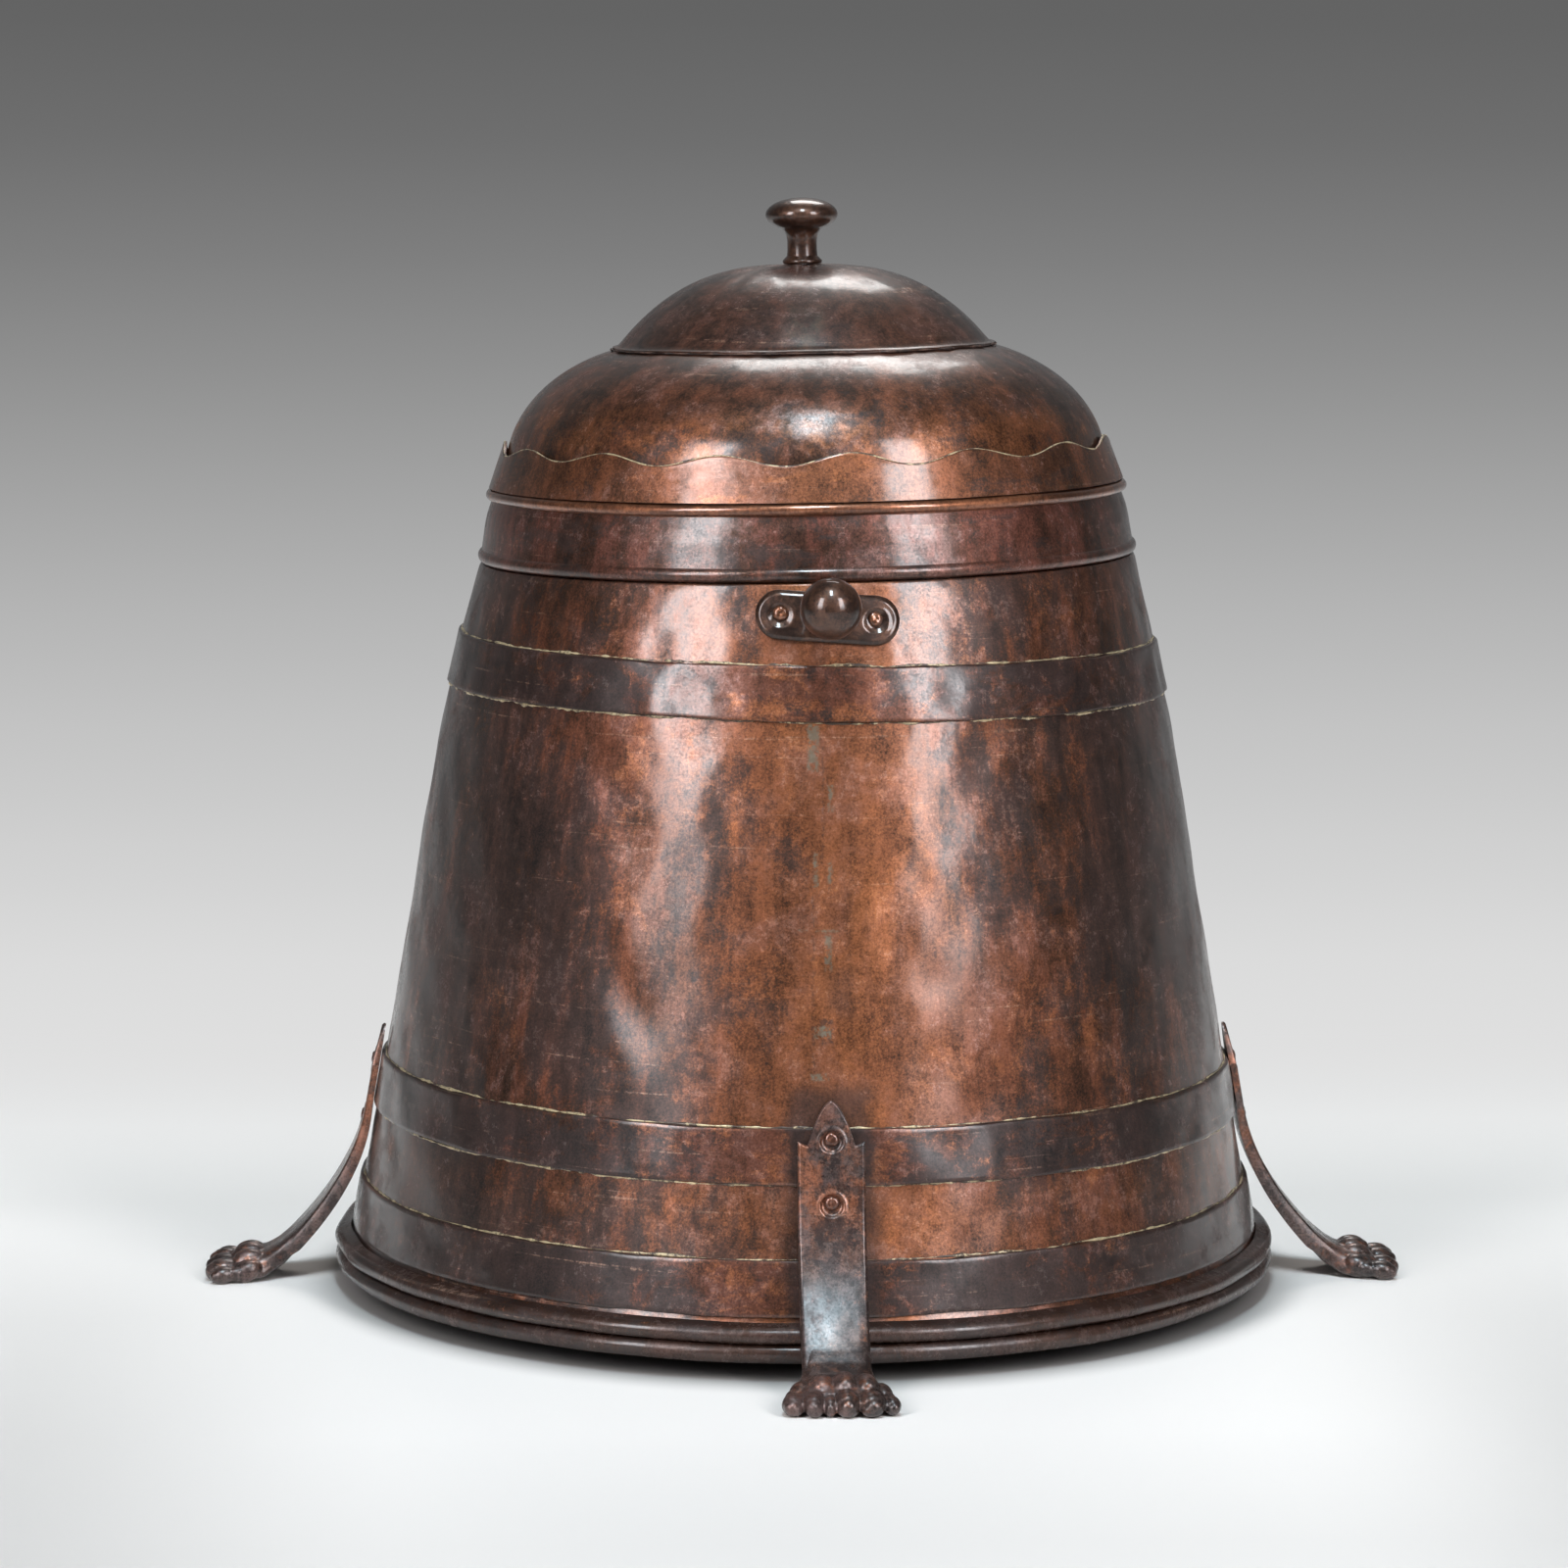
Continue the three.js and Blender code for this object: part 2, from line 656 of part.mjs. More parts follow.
// A band round the wall, whose two edges may lean together.
function band({ low, high, lean }) {
  const geometry = ringOnWall(low, high, fit, bandSheet);
  const place = geometry.attributes.position;
  for (let i = 0; i < place.count; i += 1) {
    const [x, y, z] = [place.getX(i), place.getY(i), place.getZ(i)];
    const radius = Math.hypot(x, y);
    const height = z - x * Math.tan(lean);
    const scale = (radius + wallRadiusAt(height) - wallRadiusAt(z)) / radius;
    place.setXYZ(i, x * scale, y * scale, height);
  }
  return geometry;
}

function lowerBand() {
  const holes = Object.values(legAzimuths).map((azimuth) =>
    pegThrough(onWall(azimuth, strapRivetHeights[0]), rivetRadius + fit),
  );
  return cutAway(solidOf(band(bands.lower_band)), ...holes);
}

// The tray: a flat bottom whose edge rolls up and lies on the wall's flange.
function baseTray() {
  const centre = [wallFootRadius + rimProjection - trayRoll, trayLevel + trayRoll];
  const roll = arcPoints(centre, trayRoll, -Math.PI / 2, Math.PI / 2, 4);
  const lip = [wallFootRadius + trayLipGap, centre[1] + trayRoll + trayLip];
  return revolved(sheetSection([[0, trayLevel], ...roll, lip], traySheet));
}

function footRing() {
  const wire = footWire / 2;
  const centre = [wallFootRadius + rimProjection - trayRoll - footRingInset, standHeight + wire];
  return revolved(arcPoints(centre, wire, Math.PI / 2, 2.5 * Math.PI, 6).slice(1));
}

// ---- Lid, with its seat at a height of 0 ----

const skirtTopRadius = rollCentre + rollRadius - skirtTaper;

// The skirt's face from its top edge down and round the wire.
function skirtFace() {
  const waist = [skirtTopRadius + skirtConeHeight * coneSlope, skirtRise - skirtConeHeight];
  const crease = [rollCentre + rollRadius - creaseInset, creaseHeight];
  const roll = arcPoints([rollCentre, rollRadius], rollRadius, rollStart, rollEnd, rollSteps);
  return [[skirtTopRadius, skirtRise], waist, crease, ...roll];
}

const skirtRadiusAt = (height) => skirtTopRadius + coneSlope * (skirtRise - height);
const coneSheet = lidSheet / Math.cos(Math.atan(coneSlope));

const lidSkirt = () => revolved(sheetSection(skirtFace(), -rollSheet));

function lidRimWire() {
  const end = rollStart + 2 * Math.PI;
  return revolved(arcPoints([rollCentre, rollRadius], rimWire / 2, rollStart, end, wireSteps).slice(1));
}

// A half-round bead whose flat back lies on the skirt.
function lidBead() {
  const back = [-1, 1].map((side) => {
    const height = beadLevel + (side * beadHeight) / 2;
    return [skirtRadiusAt(height) + fit, height];
  });
  const middle = skirtRadiusAt(beadLevel) + fit;
  const round = arcPoints([0, 0], 1, Math.PI / 3, -Math.PI / 3, 3).map(([x, y]) => [
    middle + beadDepth * x,
    beadLevel + (y * beadHeight) / 2,
  ]);
  return revolved([...back, ...round]);
}

const collarFoot = beadLevel + beadHeight / 2 + fit;
const collarBack = skirtRadiusAt(collarFoot) + fit + coneSheet + fit;
const collarTop = collarFoot + collarHeight - beadHeight / 2;
const collarTaper = coneSlope * (collarTop - collarFoot);

// The collar: a cone over the shoulder's foot, whose upper edge runs in waves.
function lidCollar() {
  const outer = collarBack + coneSheet;
  const geometry = revolved(
    [
      [collarBack, collarFoot],
      [outer, collarFoot],
      [outer - collarTaper, collarTop],
      [collarBack - collarTaper, collarTop],
    ],
    waves * waveSteps,
  );
  const place = geometry.attributes.position;
  for (let i = 0; i < place.count; i += 1) {
    const [x, y, z] = [place.getX(i), place.getY(i), place.getZ(i)];
    if (z < (collarFoot + collarTop) / 2) continue;
    const azimuth = Math.atan2(x, -y);
    const rise = (-waveHeight / 2) * Math.cos(waves * (azimuth - waveStart));
    const scale = 1 - (rise * coneSlope) / Math.hypot(x, y);
    place.setXYZ(i, x * scale, y * scale, z + rise);
  }
  return geometry;
}

const shoulderWidest = collarBack - collarTaper - fit;
const shoulderHeightAt = (radius) =>
  shoulderBase + shoulderRise * Math.sqrt(1 - ((radius - shoulderWidest + shoulderSpan) / shoulderSpan) ** 2);

// The shoulder: an ellipse in section, flared at its foot to carry the collar.
function lidShoulder() {
  const inner = crownRadius - shoulderLap;
  const centre = shoulderWidest - shoulderSpan;
  const start = Math.acos((inner - centre) / shoulderSpan);
  const ellipse = arcPoints([0, 0], 1, start, shoulderTurn, 4).map(([x, y]) => [
    centre + x * shoulderSpan,
    shoulderBase + y * shoulderRise,
  ]);
  const foot = shoulderFoot.map((share) => [
    collarBack - fit - collarTaper * share,
    collarFoot + (collarTop - collarFoot) * share,
  ]);
  return revolved(sheetSection([...ellipse, ...foot], -lidSheet));
}

const crownTop = shoulderHeightAt(crownCurve) + crownRise;
const crownHeightAt = (radius) => crownTop - crownRise * (radius / crownCurve) ** crownPower;

// The crown: its fall grows as a power of the radius, and its foot is flared onto the shoulder.
function lidCrown() {
  const last = crownRadius - crownFlare;
  const curve = [spigotRadius + fit, washerRadius, ...crownStations.map((share) => share * last)];
  const foot = [crownRadius - crownFootWidth, crownRadius].map((radius) => [
    radius,
    shoulderHeightAt(radius) + fit + crownFootSheet,
  ]);
  const dome = curve.map((radius) => [radius, crownHeightAt(radius)]);
  return revolved(sheetSection([...dome, ...foot], -lidSheet));
}

const washerTop = crownHeightAt(washerRadius) - lidSheet - fit;
const nutTop = washerTop - washerSheet - fit;

// The knob: a flattened ball on a waisted stem and a foot, with its spigot through the crown.
function lidKnob() {
  const foot = crownTop + fit;
  const end = nutTop - nutHeight - spigotEnd;
  const stemTop = foot + knobFootHeight + knobStemHeight;
  const middle = stemTop + knobHeight / 2;
  const from = -Math.acos(knobUndercut / knobRadius);
  const head = arcPoints([0, 0], 1, from, Math.PI / 2, 7).map(([x, y]) => [
    x * knobRadius,
    middle + (y * knobHeight) / 2,
  ]);
  head.at(-1)[0] = 0;
  const profile = [
    [0, end],
    [spigotRadius, end],
    [spigotRadius, foot],
    [knobFootRadius, foot],
    [knobFootRadius, foot + knobFootHeight / 2],
    [knobStemRadius, foot + knobFootHeight],
    [knobStemRadius - knobWaist, foot + knobFootHeight + knobStemHeight / 2],
    ...head,
  ];
  return revolved(profile, turnedSteps);
}

// A six-sided nut on the knob's spigot.
function knobNut() {
  const prism = new THREE.CylinderGeometry(nutRadius, nutRadius, nutHeight, 6).rotateX(Math.PI / 2);
  const bore = new THREE.CylinderGeometry(1, 1, 2 * nutHeight, turnedSteps).rotateX(Math.PI / 2);
  const size = spigotRadius + fit;
  return cutAway(solidOf(prism), solidOf(bore.scale(size, size, 1))).translate([
    0,
    0,
    nutTop - nutHeight / 2,
  ]);
}

// ---- The assembly ----

const finishes = {
  wall: { color: 0x5b3020, roughness: 0.38, metalness: 1 },
  strip: { color: 0x4a2820, roughness: 0.42, metalness: 1 },
  bright: { color: 0x8a4a28, roughness: 0.3, metalness: 1 },
  lid: { color: 0x553024, roughness: 0.36, metalness: 1 },
  base: { color: 0x3a221b, roughness: 0.5, metalness: 1 },
  bronze: { color: 0x4b3a34, roughness: 0.4, metalness: 1 },
  rivet: { color: 0x6e4230, roughness: 0.4, metalness: 1 },
  iron: { color: 0x38332f, roughness: 0.6, metalness: 0.9 },
};

const scuttle = new THREE.Group();
const body = new THREE.Group();
const lid = new THREE.Group();
scuttle.add(body, lid);

// The lid leans with the mouth that it sits on.
lid.position.z = seatLevel + fit;
lid.rotation.y = -mouthLean;

function place(parent, name, shape, finish) {
  const geometry = geometryOf(shape.isBufferGeometry ? solidOf(shape) : shape);
  const mesh = new THREE.Mesh(geometry, new THREE.MeshStandardMaterial(finishes[finish]));
  mesh.name = name;
  parent.add(mesh);
  return mesh;
}

place(body, "body_wall", bodyWall(), "wall");
place(body, "neck_collar", neckCollar(), "wall");
place(body, "mouth_hoop", mouthHoop(), "strip");
place(body, "upper_band", band(bands.upper_band), "strip");
place(body, "lower_band", lowerBand(), "strip");
place(body, "base_band", band(bands.base_band), "strip");
place(body, "base_tray", baseTray(), "base");
place(body, "foot_ring", footRing(), "base");

for (const [side, azimuth] of Object.entries(legAzimuths)) {
  place(body, `leg_${side}`, leg(azimuth), "bronze").rotation.z = azimuth;
  strapRivetHeights.forEach((height, i) => {
    const name = `leg_rivet_${side}_${["upper", "lower"][i]}`;
    place(body, name, rivet(onWall(azimuth, height), strapHeadLevel(azimuth, height)), "rivet");
  });
}

for (const [side, azimuth] of Object.entries(handleAzimuths)) {
  place(body, `handle_plate_${side}`, handlePlate(azimuth), "bronze");
  place(body, `handle_knob_${side}`, handleKnob(azimuth), "bronze");
  place(body, `handle_washer_${side}`, handleWasher(azimuth), "rivet");
  plateRivetFrames(azimuth).forEach((frame, i) => {
    const name = `handle_rivet_${side}_${["left", "right"][i]}`;
    place(body, name, rivet(frame, plateFace - seatDepth + fit), "rivet");
  });
}

place(lid, "lid_skirt", lidSkirt(), "lid");
place(lid, "lid_rim_wire", lidRimWire(), "iron");
place(lid, "lid_bead", lidBead(), "bright");
place(lid, "lid_collar", lidCollar(), "lid");
place(lid, "lid_shoulder", lidShoulder(), "lid");
place(lid, "lid_crown", lidCrown(), "lid");
place(lid, "lid_knob", lidKnob(), "bronze");
const lidWasher = boredRing(spigotRadius + fit, washerRadius, washerTop, washerSheet);
place(lid, "lid_knob_washer", lidWasher, "rivet");
place(lid, "lid_knob_nut", knobNut(), "iron");

export default scuttle;
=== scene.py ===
"""Covered coal scuttle of patinated copper: its dressed model, studio and camera.

The pieces are grids of points worked out in millimetres, in the frame of the CAD model: +Z up, the
front along -Y. An azimuth of 0 is the front and a quarter turn is +X.
"""

import math

import bpy
import numpy as np
from mathutils import Matrix, Vector


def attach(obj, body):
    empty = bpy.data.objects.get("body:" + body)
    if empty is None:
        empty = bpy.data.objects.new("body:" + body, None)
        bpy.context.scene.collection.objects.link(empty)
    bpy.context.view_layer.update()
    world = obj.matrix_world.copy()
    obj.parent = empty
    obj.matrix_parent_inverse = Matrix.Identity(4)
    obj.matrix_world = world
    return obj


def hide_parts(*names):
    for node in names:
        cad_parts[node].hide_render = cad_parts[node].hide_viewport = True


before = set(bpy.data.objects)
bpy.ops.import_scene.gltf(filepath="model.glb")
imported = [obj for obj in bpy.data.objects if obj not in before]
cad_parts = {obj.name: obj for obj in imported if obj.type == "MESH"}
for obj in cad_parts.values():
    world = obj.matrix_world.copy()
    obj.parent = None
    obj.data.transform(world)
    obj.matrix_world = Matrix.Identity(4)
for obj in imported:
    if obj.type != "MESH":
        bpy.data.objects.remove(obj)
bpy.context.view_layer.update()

MM = 0.001
TAU = 2 * math.pi
POLE = 1e-6
SHARP = math.radians(38)
# Steps round the axis: of the body and the bead, and of the lid's sheets and the neck
BODY_STEPS = 320
LID_STEPS = 256

# ---- Sizes of the CAD model, in millimetres ----

FIT = 0.3
WALL_SHEET = 1.2
WALL_FOOT_RADIUS = 205.2
WALL_MOUTH_RADIUS = 147.6
WALL_RISE = 303.8
LEAN_RISE = 33
MOUTH_LEAN = math.radians(1.2)
SEAT_WIDTH = 6.4
WALL_SWELL = 3.2
SWELL_POWER = 2.5
NECK_RISE = 23
NECK_DEPTH = 12
HOOP_HEIGHT = 7
HOOP_DEPTH = 3
STAND_HEIGHT = 7.6
FOOT_WIRE = 8.4
FOOT_RING_INSET = 1.4
TRAY_SHEET = 1.2
TRAY_ROLL = 3.6
TRAY_LIP = 1.1
TRAY_LIP_GAP = 2.6
RIM_PROJECTION = 9.8
FLANGE_WIDTH = 5.4
FLANGE_DROP = 4
BAND_SHEET = 1.5
BANDS = {
    "upper_band": (272.4, 295.3, math.radians(0.55)),
    "lower_band": (80.5, 103.7, math.radians(0.3)),
    "base_band": (26.4, 49.2, 0.0),
}
LID_SHEET = 1.2
LID_SLIP = 1
RIM_WIRE = 4
ROLL_SHEET = 0.9
ROLL_START = 60
ROLL_END = -180
CREASE_HEIGHT = 7.6
CREASE_INSET = 2
SKIRT_RISE = 35.7
SKIRT_TAPER = 9.6
SKIRT_CONE_HEIGHT = 14
CONE_SLOPE = 0.36
BEAD_HEIGHT = 5.4
BEAD_DEPTH = 3.2
BEAD_LEVEL = 30.5
COLLAR_HEIGHT = 20.2
WAVES = 15
WAVE_HEIGHT = 4.8
WAVE_START = math.radians(-7)
SHOULDER_BASE = 41.1
SHOULDER_RISE = 56
SHOULDER_SPAN = 75.5
SHOULDER_LAP = 9
CROWN_RADIUS = 86
CROWN_CURVE = 85
CROWN_RISE = 37
CROWN_POWER = 2.9
KNOB_RADIUS = 16.2
KNOB_HEIGHT = 15
KNOB_STEM_RADIUS = 6.9
KNOB_STEM_HEIGHT = 11
KNOB_UNDERCUT = 8.3
KNOB_FOOT_RADIUS = 8.9
KNOB_FOOT_HEIGHT = 3.4
SPIGOT_RADIUS = 3
HANDLE_DROP = 14.2
PLATE_LENGTH = 61.5
PLATE_HEIGHT = 20.6
PLATE_SHEET = 3.4
PLATE_LEAN = math.radians(3.5)
RIVET_SPACING = 40
BALL_RADIUS = 13
BALL_NECK_RADIUS = 5.6
BALL_NECK_LENGTH = 6
BALL_FOOT_RADIUS = 8.4
BALL_FOOT_HEIGHT = 1.6
RIVET_HEAD_RADIUS = 3.2
RIVET_HEAD_HEIGHT = 2
SEAT_RADIUS = 4.7
SEAT_DEPTH = 1
STRAP_WIDTH = 28.4
STRAP_TOP = 116.4
STRAP_SHEET = 3.2
STRAP_TIP_SHEET = 1.7
ANKLE_SHEET = 8
ARCH_HEIGHT = 18.4
ARCH_WIDTH = 20
EAR_HEIGHT = 1.7
STRAP_RIVET_HEIGHTS = {"upper": 99.6, "lower": 73.3}
STRAP_LEAVES = 80
ANKLE_REACH = 30.8
ANKLE_HEIGHT = 19.8
ANKLE_SLOPE = math.radians(44)
STRAP_BEND = (25, 22)
INSTEP = [(0, ANKLE_HEIGHT), (5, 15.6), (10.5, 12.5), (16, 11.4), (22, 10.8), (28, 8)]
HEEL = [(-5.6, 14.05), (2, 6.5), (10, 1.5), (16, 0), (28, 0)]
SPREAD_HEIGHT = 14.5
SPREAD_WIDTH = 43
PAW_LENGTH = 39.4
LEG_AZIMUTHS = {"front": 0.0, "right": math.radians(87.7), "rear": TAU / 2, "left": -TAU / 4}
HANDLE_AZIMUTHS = {"front": 0.0, "rear": TAU / 2}

NECK_RADIUS = WALL_MOUTH_RADIUS - SEAT_WIDTH
ANKLE_RADIUS = WALL_FOOT_RADIUS + ANKLE_REACH
TOE_REACH = ANKLE_RADIUS + PAW_LENGTH
TRAY_LEVEL = STAND_HEIGHT + FOOT_WIRE + FIT
FLANGE_LEVEL = TRAY_LEVEL + 2 * TRAY_ROLL - TRAY_SHEET - FIT
WALL_FOOT_LEVEL = FLANGE_LEVEL + FLANGE_DROP
SEAT_LEVEL = WALL_FOOT_LEVEL + WALL_RISE
ROLL_RADIUS = RIM_WIRE / 2 + FIT + ROLL_SHEET
ROLL_CENTRE = NECK_RADIUS + LID_SLIP + ROLL_RADIUS
HANDLE_LEVEL = SEAT_LEVEL - HANDLE_DROP

# ---- Meshes ----


def grid_faces(rows, columns, wraps_rows, wraps_columns=True):
    """Quads of a grid of points stored row by row."""
    r = np.arange(rows if wraps_rows else rows - 1)[:, None]
    c = np.arange(columns if wraps_columns else columns - 1)[None, :]
    r, c = np.broadcast_arrays(r, c)
    next_r, next_c = (r + 1) % rows, (c + 1) % columns
    corners = [(r, c), (r, next_c), (next_r, next_c), (next_r, c)]
    return np.stack([i * columns + j for i, j in corners], -1).reshape(-1, 4)


def facing_out(points, faces):
    """The faces, turned round where the closed surface they make has its inside out."""
    volume = 0.0
    for group in faces:
        for k in range(1, group.shape[1] - 1):
            a, b, c = (points[group[:, i]] for i in (0, k, k + 1))
            volume += np.einsum("ij,ij->", a, np.cross(b, c))
    return faces if volume > 0 else [group[:, ::-1] for group in faces]


def turned(profile, steps, warp=None):
    """Points and faces of (radius, height) points turned about Z.

    The point at azimuth a is (r sin a, -r cos a, z). warp(a, r, z) gives what is added to r and z.
    """
    profile = np.asarray(profile, float)
    poles = [profile[0, 0] < POLE, profile[-1, 0] < POLE]
    rows = profile[int(poles[0]) : len(profile) - int(poles[1])]
    azimuth = np.arange(steps) * TAU / steps
    r, a = np.meshgrid(rows[:, 0], azimuth, indexing="ij")
    z = np.repeat(rows[:, 1:], steps, 1)
    if warp:
        dr, dz = warp(a, r, z)
        r, z = r + dr, z + dz
    points = np.stack([r * np.sin(a), -r * np.cos(a), z], -1).reshape(-1, 3)
    faces = [grid_faces(len(rows), steps, not any(poles))]
    for pole, height, first in zip(poles, profile[[0, -1], 1], (0, (len(rows) - 1) * steps)):
        if pole:
            ring = first + np.arange(steps)
            fan = np.stack([ring, np.roll(ring, -1), np.full(steps, len(points))], -1)
            faces.append(fan if first else fan[:, ::-1])
            points = np.vstack([points, [0, 0, height]])
    return points, faces


def joined(*shapes):
    """Several (points, faces) as one."""
    points, faces, start = [], [], 0
    for some_points, some_faces in shapes:
        points.append(some_points)
        faces += [group + start for group in facing_out(some_points, some_faces)]
        start += len(some_points)
    return np.vstack(points), faces


def moved(shape, matrix):
    """The shape with each point p at R p + t, of the matrix's turn R and shift t."""
    points, faces = shape
    matrix = np.asarray(matrix)
    return points @ matrix[:3, :3].T + matrix[:3, 3], faces


def in_scene(name, data):
    """A new object of the scene."""
    made = bpy.data.objects.new(name, data)
    bpy.context.scene.collection.objects.link(made)
    return made


def mesh_of(name, shape, sharp=SHARP):
    """A mesh in metres, smooth but for the edges that bend by more than the sharp angle."""
    points, faces = shape
    faces = facing_out(points, faces)
    mesh = bpy.data.meshes.new(name)
    mesh.from_pydata((points * MM).tolist(), [], [f for group in faces for f in group.tolist()])
    mesh.shade_smooth()
    mesh.set_sharp_from_angle(angle=sharp)
    return mesh


def piece(name, shape, body, nodes, material, sharp=SHARP):
    """A shown piece that rides on a body, stands for CAD nodes and takes its finish from a slot."""
    made = in_scene(name, mesh_of(name, shape, sharp))
    made.data.materials.append(material)
    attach(made, body)
    if nodes:
        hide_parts(*nodes)


# ---- Profiles ----


def arc(centre, size, start, end, steps):
    """Points of an arc, with its angles in degrees; size is a radius or two half axes."""
    angles = np.radians(np.linspace(start, end, steps + 1))
    return np.stack([np.cos(angles), np.sin(angles)], -1) * size + np.asarray(centre, float)


def path(*parts):
    """Points and runs of points one after another."""
    return np.vstack([np.atleast_2d(np.asarray(part, float)) for part in parts])


def drawn_smooth(points, spacing):
    """A broken line as points at an even spacing along it, each the mean (a + 2 b + c) / 4 of itself
    and its two neighbours."""
    points = np.asarray(points, float)
    run = np.concatenate([[0], np.cumsum(np.linalg.norm(np.diff(points, axis=0), axis=1))])
    along = np.linspace(0, run[-1], max(int(run[-1] / spacing), 3))
    even = np.stack([np.interp(along, run, points[:, k]) for k in (0, 1)], -1)
    even[1:-1] = (even[:-2] + 2 * even[1:-1] + even[2:]) / 4
    return even


def sheet_loop(face, thickness):
    """The closed section of a sheet: its face, and a back set off square to it, to its way's left."""
    face = np.asarray(face, float)
    way = np.gradient(face, axis=0)
    way /= np.linalg.norm(way, axis=1, keepdims=True)
    back = face + thickness * np.stack([-way[:, 1], way[:, 0]], -1)
    back[face[:, 0] < POLE, 0] = 0
    return np.vstack([face, back[::-1]])


def wall_radius(height):
    """r = foot + (mouth - foot) t + swell t^p (1 - t) / m, with t from 0 at the wall's foot to 1 at its
    mouth, and m the most that t^p (1 - t) comes to."""
    t = (np.asarray(height, float) - WALL_FOOT_LEVEL) / WALL_RISE
    peak = SWELL_POWER / (SWELL_POWER + 1)
    most = peak**SWELL_POWER * (1 - peak)
    swell = np.clip(t, 0, None) ** SWELL_POWER * (1 - t) / most
    return WALL_FOOT_RADIUS + (WALL_MOUTH_RADIUS - WALL_FOOT_RADIUS) * t + WALL_SWELL * swell


# ---- Unevenness of hand-worked sheet ----

# The dents' levels: over the body's wall from the floor, and over the lid from its seat
WALL_DENTS = (40, 320)
LID_DENTS = (36, 140)
LID_DENT_RADIUS = 110


def ripple(azimuth, height, seed, around, tall, count=18):
    """Smooth noise near -1..1: a sum of sines, each sin(k a + l z + phase), with k whole."""
    random = np.random.default_rng(seed)
    k = random.integers(1, around, count)
    k = k * random.choice([-1, 1], count)
    wave = random.uniform(0.3, 1, count) * TAU / tall
    phase = random.uniform(0, TAU, count)
    total = sum(np.sin(k[i] * azimuth + wave[i] * height + phase[i]) for i in range(count))
    return total / math.sqrt(count)


def waver(azimuth, seed, around):
    """The same noise for a line round the object, with up to as many waves as around."""
    return ripple(azimuth, 0 * azimuth, seed, around, 50)


def dents(azimuth, height, seed, count, low, high, size, depth, radius=170):
    """A sum of -depth exp(-d^2 / 2 s^2), where d is the way along the surface from each dent."""
    random = np.random.default_rng(seed)
    total = np.zeros_like(azimuth)
    for _ in range(count):
        at, up = random.uniform(-math.pi, math.pi), random.uniform(low, high)
        wide = size * random.uniform(0.5, 1.5)
        across = (np.mod(azimuth - at + math.pi, TAU) - math.pi) * radius
        away = across**2 + (height - up) ** 2
        total -= depth * random.uniform(0.2, 1) * np.exp(-away / (2 * wide**2))
    return total


def wall_dent(azimuth, height):
    """How far the body's sheet stands out from its plain curve: broad waves, short ones and dents."""
    return (
        0.28 * ripple(azimuth, height, 3, 14, 120)
        + 0.15 * ripple(azimuth, height, 4, 46, 34)
        + dents(azimuth, height, 5, 90, *WALL_DENTS, 10, 0.7)
    )


def lid_dent(azimuth, height):
    """The same for the lid's sheets."""
    return (
        0.22 * ripple(azimuth, height, 13, 9, 70)
        + 0.08 * ripple(azimuth, height, 14, 40, 26)
        + dents(azimuth, height, 15, 46, *LID_DENTS, 7, 0.45, LID_DENT_RADIUS)
    )


def wall_follow(azimuth, height):
    """The wall's unevenness as what lies on it follows it, faded out over 20 mm at the wall's foot."""
    return wall_dent(azimuth, height) * np.clip((height - WALL_FOOT_LEVEL - 2) / 20, 0, 1)


# ---- Materials ----


def rgba(colour):
    """A colour as a socket takes it, from three numbers or from another node's output."""
    return colour if isinstance(colour, bpy.types.NodeSocket) else (*colour, 1)


